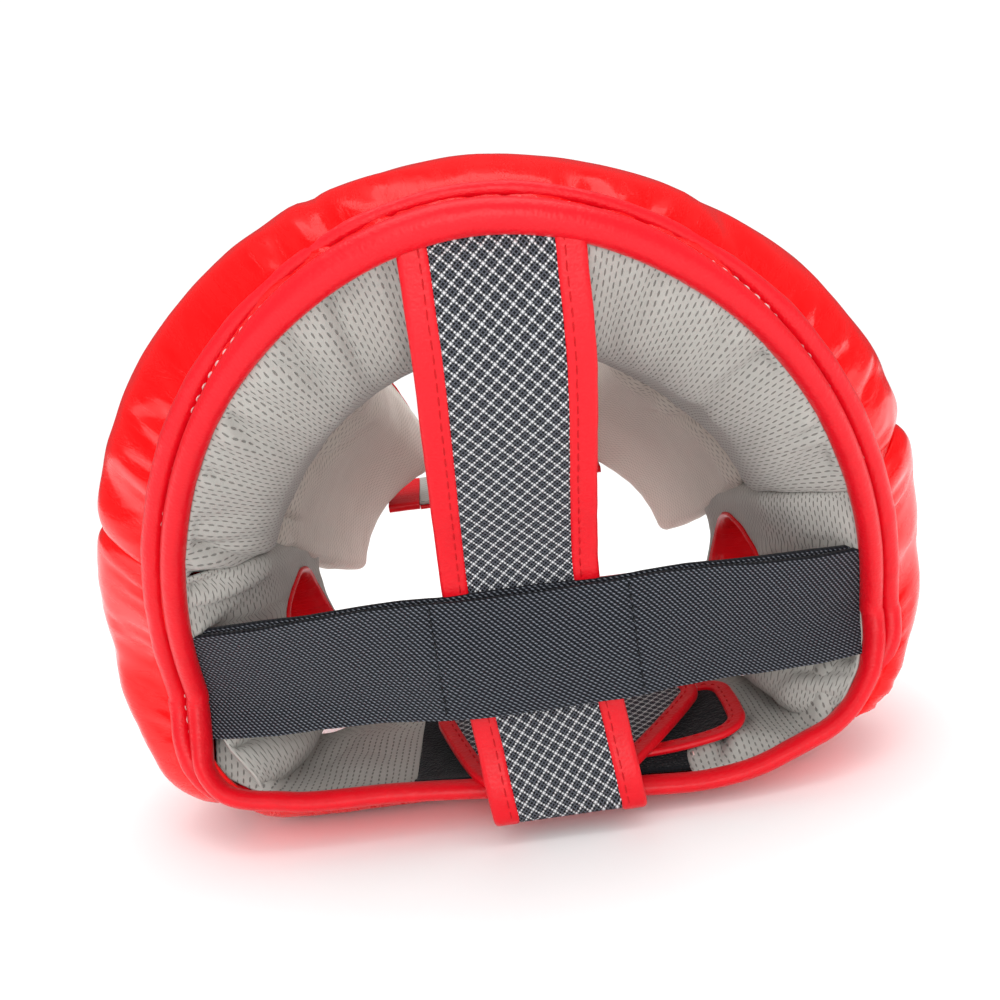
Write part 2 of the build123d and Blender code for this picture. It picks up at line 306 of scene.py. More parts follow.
def boxed_section(wide: float, thin: float, radius: float, flat: float = 1.0) -> Grid:
    """A flat section with rounded edges.

    Args:
        wide: Half width.
        thin: Half thickness.
        radius: Edge radius.
        flat: Point spacing on the flats.

    Returns:
        Offsets along two directions, shape (count, 2).
    """
    corners = []
    for centre_turn, (sign_a, sign_b) in enumerate(((1, 1), (-1, 1), (-1, -1), (1, -1))):
        turn = np.linspace(0, math.pi / 2, 5) + centre_turn * math.pi / 2
        centre = np.array([sign_a * (wide - radius), sign_b * (thin - radius)])
        corners.append(centre + radius * np.stack([np.cos(turn), np.sin(turn)], axis=1))
    rows = []
    for here, after in zip(corners, corners[1:] + corners[:1]):
        rows.append(here)
        count = int(np.linalg.norm(after[0] - here[-1]) / flat)
        share = np.linspace(0, 1, count + 2)[1:-1, None]
        rows.append(here[-1] * (1 - share) + after[0] * share)
    return np.concatenate(rows)


def frames_along(route: Grid, guide: Grid, closed: bool) -> tuple[Grid, Grid, Grid]:
    """Tangent and two cross directions at each point of a route.

    Args:
        route: Points, shape (count, 3).
        guide: Rough first cross direction, one or one per point.
        closed: Whether the route is a loop.

    Returns:
        Tangents, first and second cross directions.
    """
    if closed:
        tangent = np.roll(route, -1, axis=0) - np.roll(route, 1, axis=0)
    else:
        tangent = np.gradient(route, axis=0)
    tangent = tangent / np.linalg.norm(tangent, axis=1, keepdims=True)
    first = np.broadcast_to(np.asarray(guide, float), route.shape)
    first = first - tangent * np.sum(first * tangent, axis=1, keepdims=True)
    first = first / np.linalg.norm(first, axis=1, keepdims=True)
    return tangent, first, np.cross(tangent, first)


# ------------------------------------------------------------------ mesh building
def normals_of(points: Grid) -> Grid:
    """Unit normals of a grid of points, from its two directions."""
    along = np.gradient(points, axis=0)
    across = np.gradient(points, axis=1)
    normal = np.cross(along, across)
    return normal / np.maximum(np.linalg.norm(normal, axis=2, keepdims=True), 1e-9)


def arc_lengths(points: Grid, axis: int) -> Grid:
    """Running length along one direction of a grid."""
    steps = np.linalg.norm(np.diff(points, axis=axis), axis=2)
    start = np.zeros_like(np.take(steps, [0], axis=axis))
    return np.cumsum(np.concatenate([start, steps], axis=axis), axis=axis)


def run_along(points: Grid) -> Grid:
    """Running length at each point of a line."""
    return np.concatenate([[0.0], np.cumsum(np.linalg.norm(np.diff(points, axis=0), axis=1))])


def link_object(name: str, data: bpy.types.ID) -> bpy.types.Object:
    """Make an object of some data and link it to the scene."""
    obj = bpy.data.objects.new(name, data)
    bpy.context.scene.collection.objects.link(obj)
    return obj


@dataclass
class MeshMaker:
    """Turns grids of head coordinates into Blender objects that ride on a body."""

    head: HeadFrame

    def sheet(self, name: str, points: Grid, thickness: float = 0.0, closed: bool = False,
              keep: Grid | None = None, fabric: tuple[Grid, Grid] | None = None
              ) -> bpy.types.Object:
        """Build a quad sheet, thickened to one side, with millimetre fabric coordinates.

        Args:
            name: Piece name.
            points: Grid of head coordinates, shape (rows, columns, 3).
            thickness: Material thickness behind the sheet; 0 leaves one layer.
            closed: Whether the last row joins the first.
            keep: Mask of the quads to keep, or None for all.
            fabric: Two grids of fabric coordinates in millimetres, or None to measure them.

        Returns:
            The linked object.
        """
        rows, columns = points.shape[:2]
        if fabric is None:
            middle = columns // 2
            along = arc_lengths(points, 0)[:, middle:middle + 1] + np.zeros((1, columns))
            fabric = (along, arc_lengths(points, 1))
        index = np.arange(rows * columns).reshape(rows, columns)
        if closed:
            index = np.concatenate([index, index[:1]], axis=0)
        quads = np.stack([index[:-1, :-1], index[1:, :-1], index[1:, 1:], index[:-1, 1:]], axis=2)
        u, v = fabric
        if closed:
            span = np.linalg.norm(points[0] - points[-1], axis=1)
            u = np.concatenate([u, (u[-1] + span)[None]], axis=0)
            v = np.concatenate([v, v[:1]], axis=0)
        coords = np.stack([u, v], axis=2)
        uvs = np.stack([coords[:-1, :-1], coords[1:, :-1], coords[1:, 1:], coords[:-1, 1:]], axis=2)
        mask = np.ones(quads.shape[:2], bool) if keep is None else keep
        faces, loops = quads[mask], uvs[mask].reshape(-1, 2)
        mesh = bpy.data.meshes.new(name)
        vertices = self.head.to_row(points.reshape(-1, 3))
        used, faces = np.unique(faces, return_inverse=True)
        mesh.from_pydata(vertices[used].tolist(), [], faces.reshape(-1, 4).tolist())
        layer = mesh.uv_layers.new(name="fabric_mm")
        layer.data.foreach_set("uv", loops.astype(np.float32).ravel())
        mesh.polygons.foreach_set("use_smooth", [True] * len(mesh.polygons))
        obj = link_object(name, mesh)
        if thickness:
            solid = obj.modifiers.new("thickness", "SOLIDIFY")
            solid.thickness = thickness * MM
            solid.offset = -1.0
        return obj

    def sweep(self, name: str, route: Grid, section: Grid, guide: Grid,
              closed: bool = False) -> bpy.types.Object:
        """Sweep a section along a route and close its ends.

        Args:
            name: Piece name.
            route: Centre line, shape (count, 3).
            section: Offsets, shape (around, 2) or (around, count, 2).
            guide: Direction of the section's first axis, one or one per point.
            closed: Whether the route is a loop.

        Returns:
            The linked object; u runs round the section and v along the route.
        """
        _, first, second = frames_along(route, guide, closed)
        if section.ndim == 2:
            section = np.repeat(section[:, None], len(route), axis=1)
        points = route[None] + section[..., :1] * first[None] + section[..., 1:] * second[None]
        round_it = arc_lengths(section, 0)[:, :1]
        along = run_along(route)
        if closed:
            points = np.concatenate([points, points[:, :1]], axis=1)
            along = np.append(along, along[-1] + np.linalg.norm(route[0] - route[-1]))
        else:
            first_cap, last_cap = (np.repeat(route[None, i:i + 1], len(section), axis=0)
                                   for i in (0, len(route) - 1))
            points = np.concatenate([first_cap, points, last_cap], axis=1)
            along = np.concatenate([along[:1], along, along[-1:]])
        fabric = tuple(np.broadcast_to(grid, points.shape[:2]) for grid in (round_it, along[None]))
        return self.weld(self.sheet(name, points, closed=True, fabric=fabric))

    def stitches(self, name: str, route: Grid, up: Grid, length: float = 3.0, gap: float = 1.3,
                 radius: float = 0.4, loop: bool = False) -> bpy.types.Object:
        """Lay a row of thread stitches along a route.

        Args:
            name: Piece name.
            route: Line of the seam, shape (count, 3).
            up: Direction that the thread stands proud in, one or one per point.
            length: Length of one stitch.
            gap: Space to the next one.
            radius: Thread radius.
            loop: Whether the route is a loop.

        Returns:
            One object holding every stitch.
        """
        if loop:
            route = np.concatenate([route, route[:1]])
            up = up if np.ndim(up) == 1 else np.concatenate([up, up[:1]])
        tangent, first, second = frames_along(route, up, False)
        run = run_along(route)
        starts = np.arange(gap, run[-1] - length, length + gap)
        share = np.linspace(0.0, 1.0, 7)
        where = starts[:, None] + share[None] * length
        centre, rise, side = (np.stack([np.interp(where, run, column) for column in grid.T], axis=2)
                              for grid in (route, first, second))
        arch = np.sin(math.pi * share)[None, :, None] ** 0.6
        centre = centre + rise * (arch * 1.3 - 0.75) * radius
        thick = radius * (0.55 + 0.45 * arch)
        turn = np.linspace(0.0, 2 * math.pi, 7, endpoint=False)[None, None, :, None]
        points = (centre[:, :, None] + rise[:, :, None] * np.cos(turn) * thick[:, :, None]
                  + side[:, :, None] * np.sin(turn) * thick[:, :, None])
        count, rings, around = points.shape[:3]
        index = np.arange(count * rings * around).reshape(count, rings, around)
        following = np.roll(index, -1, axis=2)
        quads = np.stack([index[:, :-1], following[:, :-1], following[:, 1:], index[:, 1:]], axis=3)
        mesh = bpy.data.meshes.new(name)
        faces = quads.reshape(-1, 4).tolist()
        faces += index[:, 0, ::-1].tolist() + index[:, -1].tolist()
        mesh.from_pydata(self.head.to_row(points.reshape(-1, 3)).tolist(), [], faces)
        mesh.polygons.foreach_set("use_smooth", [True] * len(mesh.polygons))
        return link_object(name, mesh)

    @staticmethod
    def weld(obj: bpy.types.Object, reach: float = 0.00002) -> bpy.types.Object:
        """Merge coincident points of an object."""
        work = bmesh.new()
        work.from_mesh(obj.data)
        bmesh.ops.remove_doubles(work, verts=work.verts, dist=reach)
        bmesh.ops.recalc_face_normals(work, faces=work.faces)
        work.to_mesh(obj.data)
        work.free()
        return obj


def place(obj: bpy.types.Object, body: Body, material: bpy.types.Material,
          replaces: Sequence[str] = ()) -> bpy.types.Object:
    """Dress a piece, seat it on its body and hide what it stands for.

    Args:
        obj: The finished piece.
        body: Body that it moves with.
        material: Blender material.
        replaces: CAD nodes that the piece stands for.

    Returns:
        The same object.
    """
    obj.data.materials.clear()
    obj.data.materials.append(material)
    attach(obj, body.value)
    if replaces:
        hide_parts(*replaces)
    LOG.info("%s: %d faces on %s", obj.name, len(obj.data.polygons), body.value)
    return obj


# ------------------------------------------------------------------ creases
@dataclass(frozen=True)
class Gathers:
    """Creases that run away from a seam, as leather and knit pucker along stitching."""

    seed: int
    spacing: float
    depth: float
    width: float
    reach: float
    lean: float = 0.25

    def lift(self, along: Grid, away: Grid) -> Grid:
        """Height of the surface at each place.

        Args:
            along: Distance along the seam.
            away: Distance from the seam.

        Returns:
            Millimetres, negative in the creases.
        """
        rng = np.random.default_rng(self.seed)
        low, high = float(along.min()), float(along.max())
        total = np.zeros(np.broadcast(along, away).shape)
        for _ in range(max(1, int((high - low) / self.spacing))):
            middle = rng.uniform(low, high)
            width = self.width * rng.uniform(0.6, 1.5)
            reach = self.reach * rng.uniform(0.35, 1.3)
            depth = self.depth * rng.uniform(0.3, 1.2)
            lean = rng.normal(0.0, self.lean)
            bow = rng.normal(0.0, self.lean / self.reach)
            offset = along - middle - lean * away - bow * away * away
            fade = 1.0 - smoothstep(0.1, 1.0, away / reach)
            valley = np.exp(-(offset / width) ** 2)
            shoulder = 0.45 * np.exp(-((offset - 2.0 * width) / (1.6 * width)) ** 2)
            total += depth * fade * (shoulder - valley)
        return total


# ------------------------------------------------------------------ materials
def linear(code: str) -> tuple[float, float, float, float]:
    """Turn an sRGB hex colour into linear RGBA."""
    parts = [int(code[i:i + 2], 16) / 255.0 for i in (1, 3, 5)]
    return (*[p / 12.92 if p <= 0.04045 else ((p + 0.055) / 1.055) ** 2.4 for p in parts], 1.0)


def add_node(tree: bpy.types.NodeTree, kind: str, inputs: dict | None = None,
             out: int | str = 0, **settings: object) -> bpy.types.NodeSocket:
    """Add a shader node with its settings and links.

    Args:
        tree: Node tree to add to.
        kind: Blender's node type, after "ShaderNode".
        inputs: Sockets to link, values to set or hex colours, by input name or number.
        out: Name or number of the output wanted.
        settings: Attributes of the node.

    Returns:
        The output socket, or None for a node without outputs.
    """
    made = tree.nodes.new(f"ShaderNode{kind}")
    for key, value in settings.items():
        setattr(made, key, value)
    for key, value in (inputs or {}).items():
        if isinstance(value, bpy.types.NodeSocket):
            tree.links.new(value, made.inputs[key])
        else:
            made.inputs[key].default_value = linear(value) if isinstance(value, str) else value
    return made.outputs[out] if len(made.outputs) else None


def fabric_axes(tree: bpy.types.NodeTree) -> tuple[bpy.types.NodeSocket, ...]:
    """Fabric coordinates in millimetres as u, v and a vector."""
    uv = add_node(tree, "UVMap", uv_map="fabric_mm")
    return *(add_node(tree, "SeparateXYZ", {0: uv}, axis) for axis in (0, 1)), uv


@dataclass(frozen=True)
class Finish:
    """A surface finish; subclasses paint its colour, roughness and relief."""

    name: str

    def build(self) -> bpy.types.Material:
        """Make the Blender material.

        Returns:
            The material, ready to assign.
        """
        material = bpy.data.materials.new(self.name)
        material.use_nodes = True
        tree = material.node_tree
        tree.nodes.clear()
        add_node(tree, "OutputMaterial", {"Surface": self.paint(tree)})
        return material

    def paint(self, tree: bpy.types.NodeTree) -> bpy.types.NodeSocket:
        """Add the finish's nodes and return its shader."""
        raise NotImplementedError

    def surface(self, tree: bpy.types.NodeTree, colour: bpy.types.NodeSocket,
                height: bpy.types.NodeSocket, relief: tuple[float, float],
                shading: dict) -> bpy.types.NodeSocket:
        """Put colour and relief together.

        Args:
            tree: Node tree to add to.
            colour: Base colour.
            height: Height of the relief.
            relief: Strength of the relief, and its depth in metres.
            shading: Other values of the shader, by input name.

        Returns:
            The shader.
        """
        bump = add_node(tree, "Bump", {"Height": height, "Strength": relief[0],
                                       "Distance": relief[1]})
        return add_node(tree, "BsdfPrincipled", {"Base Color": colour, "Normal": bump, **shading})


@dataclass(frozen=True)
class GlossyLeather(Finish):
    """Polyurethane-coated leather, calendered smooth: wet-looking highlights over a fine grain
    that breaks into creases beside the seams."""

    base: str = "#F20004"
    deep: str = "#DC0004"
    roughness: float = 0.24
    grain_mm: float = 1.1
    crease_mm: float = 6.0
    crease_slant: float = 0.22
    seam_zone_mm: tuple[float, float] = (4.0, 26.0)
    relief: float = 0.20

    def paint(self, tree: bpy.types.NodeTree) -> bpy.types.NodeSocket:
        """Grain and stretched creases in the relief, slow changes in colour and gloss."""
        _, v, uv = fabric_axes(tree)
        stretched = add_node(tree, "VectorMath", {0: uv, 1: (
            1 / self.crease_mm, self.crease_slant / self.crease_mm, 1.0)}, operation="MULTIPLY")
        folds = add_node(tree, "TexNoise", {"Vector": stretched, "Scale": 1.0, "Detail": 5.0,
                                            "Roughness": 0.62, "Distortion": 0.6})
        ridge = folds
        for operation in ("SUBTRACT", "ABSOLUTE"):
            ridge = add_node(tree, "Math", {0: ridge, 1: 0.5}, operation=operation)
        crack = add_node(tree, "MapRange", {0: ridge, 2: 0.03}, interpolation_type="SMOOTHSTEP")
        near = add_node(tree, "MapRange", {0: v, 1: self.seam_zone_mm[0], 2: self.seam_zone_mm[1],
                                           3: 1.0, 4: 0.12}, interpolation_type="SMOOTHSTEP")
        height = add_node(tree, "Mix", {0: near, 2: 1.0, 3: crack})
        grain = add_node(tree, "TexVoronoi", {"Vector": uv, "Scale": 1 / self.grain_mm},
                         feature="SMOOTH_F1")
        for layer, weight in ((grain, 0.05), (folds, 0.5)):
            height = add_node(tree, "Math", {0: layer, 1: weight, 2: height},
                              operation="MULTIPLY_ADD")
        slow = add_node(tree, "TexNoise", {"Vector": uv, "Scale": 0.03, "Detail": 3.0})
        colour = add_node(tree, "Mix", {0: slow, 6: self.base, 7: self.deep}, 2, data_type="RGBA")
        gloss = add_node(tree, "MapRange", {0: folds, 1: 0.3, 2: 0.7, 3: self.roughness - 0.06,
                                            4: self.roughness + 0.10})
        return self.surface(tree, colour, height, (self.relief, 0.0006), {
            "Roughness": gloss, "IOR": 1.5, "Coat Weight": 0.22, "Coat Roughness": 0.10,
            "Specular IOR Level": 0.16})


@dataclass(frozen=True)
class SatinTape(Finish):
    """Polyurethane binding tape, embossed matt: a soft broad sheen and a faint pebble."""

    base: str = "#E0041A"
    shade: str = "#CC0416"
    roughness: float = 0.36
    grain_mm: float = 0.8

    def paint(self, tree: bpy.types.NodeTree) -> bpy.types.NodeSocket:
        """Faint pebble relief with slow colour drift."""
        _, _, uv = fabric_axes(tree)
        grain = add_node(tree, "TexVoronoi", {"Vector": uv, "Scale": 1 / self.grain_mm},
                         feature="SMOOTH_F1")
        soft = add_node(tree, "TexNoise", {"Vector": uv, "Scale": 0.16, "Detail": 4.0,
                                           "Roughness": 0.55})
        height = add_node(tree, "Math", {0: soft, 1: 3.0, 2: grain}, operation="MULTIPLY_ADD")
        colour = add_node(tree, "Mix", {0: soft, 6: self.base, 7: self.shade}, 2, data_type="RGBA")
        return self.surface(tree, colour, height, (0.22, 0.0005), {
            "Roughness": self.roughness, "IOR": 1.5, "Specular IOR Level": 0.3,
            "Sheen Weight": 0.04, "Sheen Roughness": 0.4})


@dataclass(frozen=True)
class MeshKnit(Finish):
    """Polyester mesh knit over foam: matt warm grey with short pierced slots in rows, painted
    darker inside as shade in the holes.
    """

    base: str = "#A09E99"
    light: str = "#B0AEA8"
    # painted shade: the darker colour painted into the slots, standing in for shade inside the
    # holes
    slot_shade: str = "#66645F"
    pitch_across_mm: float = 1.3
    pitch_along_mm: float = 3.0
    slot_mm: float = 2.0
    slot_width_mm: float = 0.36
    along_rim: bool = False

    def paint(self, tree: bpy.types.NodeTree) -> bpy.types.NodeSocket:
        """Staggered slots over fine ribs, away from the rim or along it."""
        u, v, uv = fabric_axes(tree)
        if self.along_rim:
            u, v = v, u
        column = add_node(tree, "Math", {0: u, 1: self.pitch_across_mm}, operation="DIVIDE")
        stagger = add_node(tree, "Math", {0: column}, operation="FLOOR")
        stagger = add_node(tree, "Math", {0: stagger, 1: 0.5}, operation="MULTIPLY")
        row = add_node(tree, "Math", {0: v, 1: 1 / self.pitch_along_mm, 2: stagger},
                       operation="MULTIPLY_ADD")
        squares = []
        for part, pitch, size in ((column, self.pitch_across_mm, self.slot_width_mm),
                                  (row, self.pitch_along_mm, self.slot_mm)):
            for operation, operand in (("FRACT", 0.5), ("SUBTRACT", 0.5),
                                       ("MULTIPLY", 2 * pitch / size)):
                part = add_node(tree, "Math", {0: part, 1: operand}, operation=operation)
            squares.append(add_node(tree, "Math", {0: part, 1: part}, operation="MULTIPLY"))
        spread = add_node(tree, "Math", {0: squares[0], 1: squares[1]}, operation="ADD")
        slot = add_node(tree, "MapRange", {0: spread, 1: 0.45, 2: 1.25, 3: 1.0, 4: 0.0},
                        interpolation_type="SMOOTHSTEP")
        yarn = add_node(tree, "TexNoise", {"Vector": uv, "Scale": 2.2, "Detail": 2.0})
        slow = add_node(tree, "TexNoise", {"Vector": uv, "Scale": 0.05, "Detail": 3.0})
        colour = add_node(tree, "Mix", {0: slow, 6: self.base, 7: self.light}, 2,
                          data_type="RGBA")
        # painted shade: the slots are mixed toward the darker slot colour, as shade inside the
        # holes
        painted_slot_shade = add_node(tree, "Math", {0: slot, 1: 0.75}, operation="MULTIPLY")
        colour = add_node(tree, "Mix", {0: painted_slot_shade, 6: colour, 7: self.slot_shade}, 2, data_type="RGBA")
        height = add_node(tree, "Math", {0: yarn, 1: 0.35}, operation="MULTIPLY")
        height = add_node(tree, "Math", {0: height, 1: slot}, operation="SUBTRACT")
        return self.surface(tree, colour, height, (0.8, 0.0005), {
            "Roughness": 0.85, "IOR": 1.46, "Specular IOR Level": 0.25, "Sheen Weight": 0.12,
            "Sheen Roughness": 0.5})


@dataclass(frozen=True)
class SpacerMesh(Finish):
    """Warp-knit spacer mesh: pale yarn diamonds with knots over black cells.

    Its yarns are drawn about twice as thick as they are, so that they show.
    """

    ground: str = "#060708"
    cell: str = "#5A5D65"
    yarn: str = "#F0F1F4"
    pitch_mm: float = 4.1
    yarn_mm: float = 0.55
    dashes: float = 3.0
    yarn_share: float = 1.0

    def paint(self, tree: bpy.types.NodeTree) -> bpy.types.NodeSocket:
        """Dashed diagonal yarns, bright knots where they cross, small cells between."""
        u, v, _ = fabric_axes(tree)
        lines, places = [], []
        for slope in (1.0, -1.0):
            tilted = add_node(tree, "Math", {0: u, 1: slope, 2: v}, operation="MULTIPLY_ADD")
            part = add_node(tree, "Math", {0: tilted, 1: 1 / self.pitch_mm}, operation="MULTIPLY")
            places.append(part)
            for operation in ("FRACT", "SUBTRACT", "ABSOLUTE"):
                part = add_node(tree, "Math", {0: part, 1: 0.5}, operation=operation)
            lines.append(part)
        strands, cells = [], []
        for line, along in zip(lines, reversed(places)):
            on = add_node(tree, "MapRange", {0: line, 1: 0.5 - self.yarn_mm / self.pitch_mm,
                                             2: 0.47}, interpolation_type="SMOOTHSTEP")
            wave = add_node(tree, "Math", {0: along, 1: 2 * math.pi * self.dashes},
                            operation="MULTIPLY")
            wave = add_node(tree, "Math", {0: wave}, operation="COSINE")
            dash = add_node(tree, "MapRange", {0: wave, 1: -0.6, 2: 0.3, 3: 0.15, 4: 1.0})
            strands.append(add_node(tree, "Math", {0: on, 1: dash}, operation="MULTIPLY"))
            for operation, operand in (("MULTIPLY", 3.0), ("FRACT", 0.5), ("SUBTRACT", 0.5),
                                       ("ABSOLUTE", 0.5)):
                along = add_node(tree, "Math", {0: along, 1: operand}, operation=operation)
            cells.append(along)
        yarn, crossing, web = (add_node(tree, "Math", {0: pair[0], 1: pair[1]}, operation=kind)
                               for pair, kind in ((strands, "MAXIMUM"), (lines, "MINIMUM"),
                                                  (cells, "MAXIMUM")))
        knot = add_node(tree, "MapRange", {0: crossing, 2: 0.45,
                                           1: 0.5 - 1.5 * self.yarn_mm / self.pitch_mm})
        yarn = add_node(tree, "Math", {0: yarn, 1: self.yarn_share}, operation="MULTIPLY")
        yarn = add_node(tree, "Math", {0: yarn, 1: knot}, operation="MAXIMUM")
        web = add_node(tree, "MapRange", {0: web, 1: 0.26, 2: 0.44})
        colour = add_node(tree, "Mix", {0: web, 6: self.ground, 7: self.cell}, 2,
                          data_type="RGBA")
        colour = add_node(tree, "Mix", {0: yarn, 6: colour, 7: self.yarn}, 2, data_type="RGBA")
        height = add_node(tree, "Math", {0: web, 1: 0.4, 2: yarn}, operation="MULTIPLY_ADD")
        return self.surface(tree, colour, height, (1.0, 0.0005), {
            "Roughness": 0.6, "IOR": 1.5, "Specular IOR Level": 0.12})


@dataclass(frozen=True)
class ElasticWebbing(Finish):
    """Woven polyester elastic: dark slate twill with paler filament dashes on the diagonal.

    The twill's pitch is drawn about twice as coarse as it is, so that it shows.
    """

    base: str = "#10131A"
    filament: str = "#979DA8"
    pitch_mm: float = 1.7
    course_mm: float = 0.8
    slope: float = 1.2

    def paint(self, tree: bpy.types.NodeTree) -> bpy.types.NodeSocket:
        """Twill lines broken into stitches."""
        u, v, uv = fabric_axes(tree)
        slanted = add_node(tree, "Math", {0: v, 1: self.slope, 2: u}, operation="MULTIPLY_ADD")
        waves = []
        for part, pitch in ((slanted, self.pitch_mm), (v, self.course_mm)):
            for operation in ("MULTIPLY", "SINE"):
                part = add_node(tree, "Math", {0: part, 1: 2 * math.pi / pitch},
                                operation=operation)
            waves.append(part)
        twill, course = waves
        weave = add_node(tree, "Math", {0: twill, 1: course}, operation="MULTIPLY")
        weave = add_node(tree, "Math", {0: twill, 1: 1.1, 2: weave}, operation="MULTIPLY_ADD")
        speck = add_node(tree, "TexNoise", {"Vector": uv, "Scale": 1.6, "Detail": 3.0})
        show = add_node(tree, "Math", {0: weave, 1: speck}, operation="MULTIPLY")
        show = add_node(tree, "MapRange", {0: show, 2: 0.8, 4: 0.7})
        colour = add_node(tree, "Mix", {0: show, 6: self.base, 7: self.filament}, 2,
                          data_type="RGBA")
        return self.surface(tree, colour, weave, (0.7, 0.0003), {
            "Roughness": 0.7, "IOR": 1.5, "Specular IOR Level": 0.15, "Sheen Weight": 0.05,
            "Sheen Roughness": 0.5})


@dataclass(frozen=True)
class PileFabric(Finish):
    """Brushed or looped nylon: a dull pile whose clumps catch the light unevenly."""

    base: str = "#0D0E10"
    tip: str = "#26282C"
    clump_mm: float = 1.0

    def paint(self, tree: bpy.types.NodeTree) -> bpy.types.NodeSocket:
        """Clumped pile in colour and relief."""
        _, _, uv = fabric_axes(tree)
        clumps = add_node(tree, "TexVoronoi", {"Vector": uv, "Scale": 1 / self.clump_mm})
        fuzz = add_node(tree, "TexNoise", {"Vector": uv, "Scale": 1.4, "Detail": 5.0})
        height = add_node(tree, "Math", {0: fuzz, 1: clumps}, operation="ADD")
        colour = add_node(tree, "Mix", {0: fuzz, 6: self.base, 7: self.tip}, 2, data_type="RGBA")
        return self.surface(tree, colour, height, (0.9, 0.0005), {
            "Roughness": 0.95, "IOR": 1.5, "Specular IOR Level": 0.1, "Sheen Weight": 0.1,
            "Sheen Roughness": 0.4})


@dataclass(frozen=True)
class SewingThread(Finish):
    """Bonded nylon thread: twisted ply with a silky glint."""

    base: str = "#D00012"
    roughness: float = 0.5
    ply_per_metre: float = 1800.0
    shaded: float = 0.6

    def paint(self, tree: bpy.types.NodeTree) -> bpy.types.NodeSocket:
        """Fine uneven colour from the ply."""
        at = add_node(tree, "TexCoord", out="Object")
        ply = add_node(tree, "TexNoise", {"Vector": at, "Scale": self.ply_per_metre})
        dark = tuple(self.shaded * c for c in linear(self.base)[:3]) + (1.0,)
        colour = add_node(tree, "Mix", {0: ply, 6: self.base, 7: dark}, 2, data_type="RGBA")
        return self.surface(tree, colour, ply, (0.4, 0.0002), {
            "Roughness": self.roughness, "IOR": 1.53, "Specular IOR Level": 0.2})


def stock(finish: Finish) -> bpy.types.Material:
    """A field that holds a finish's material."""
    return field(default_factory=finish.build)


@dataclass
class Wardrobe:
    """Every material of the headgear, made once."""

    leather: bpy.types.Material = stock(GlossyLeather("pu_leather_glossy_red"))
    lining_leather: bpy.types.Material = stock(GlossyLeather(
        "pu_leather_soft_red", base="#E51320", deep="#C50C16", roughness=0.38, relief=0.35))
    tape: bpy.types.Material = stock(SatinTape("pu_binding_tape_satin_red"))
    knit: bpy.types.Material = stock(MeshKnit("polyester_mesh_knit_grey"))
    knit_turned: bpy.types.Material = stock(MeshKnit("polyester_mesh_knit_turned",
                                                     along_rim=True))
    # painted light: a paler copy of the grey knit for the cheek linings, standing in for the light
    # that reaches them; its slots carry painted shade as in the other knits
    knit_pale: bpy.types.Material = stock(MeshKnit(
        "polyester_mesh_knit_pale", base="#CFC8BE", light="#DCD6CC", slot_shade="#8A857D",
        along_rim=True))
    spacer: bpy.types.Material = stock(SpacerMesh("spacer_mesh_black"))
    net: bpy.types.Material = stock(SpacerMesh("spacer_mesh_reverse", pitch_mm=3.6, yarn_mm=0.62,
                                               yarn_share=0.8))
    elastic: bpy.types.Material = stock(ElasticWebbing("woven_elastic_slate"))
    loop: bpy.types.Material = stock(PileFabric("nylon_loop_pile_black"))
    hook: bpy.types.Material = stock(PileFabric("nylon_hook_tape_black", base="#101113",
                                                tip="#26272B", clump_mm=1.4))
    red_thread: bpy.types.Material = stock(SewingThread("bonded_thread_red"))
    dark_thread: bpy.types.Material = stock(SewingThread("bonded_thread_black", base="#1E2024"))
    # painted highlight: a pale thread colour that stands in for light glinting on stitches
    painted_glint_thread: bpy.types.Material = stock(SewingThread("bonded_thread_pale", base="#F2C9C4"))


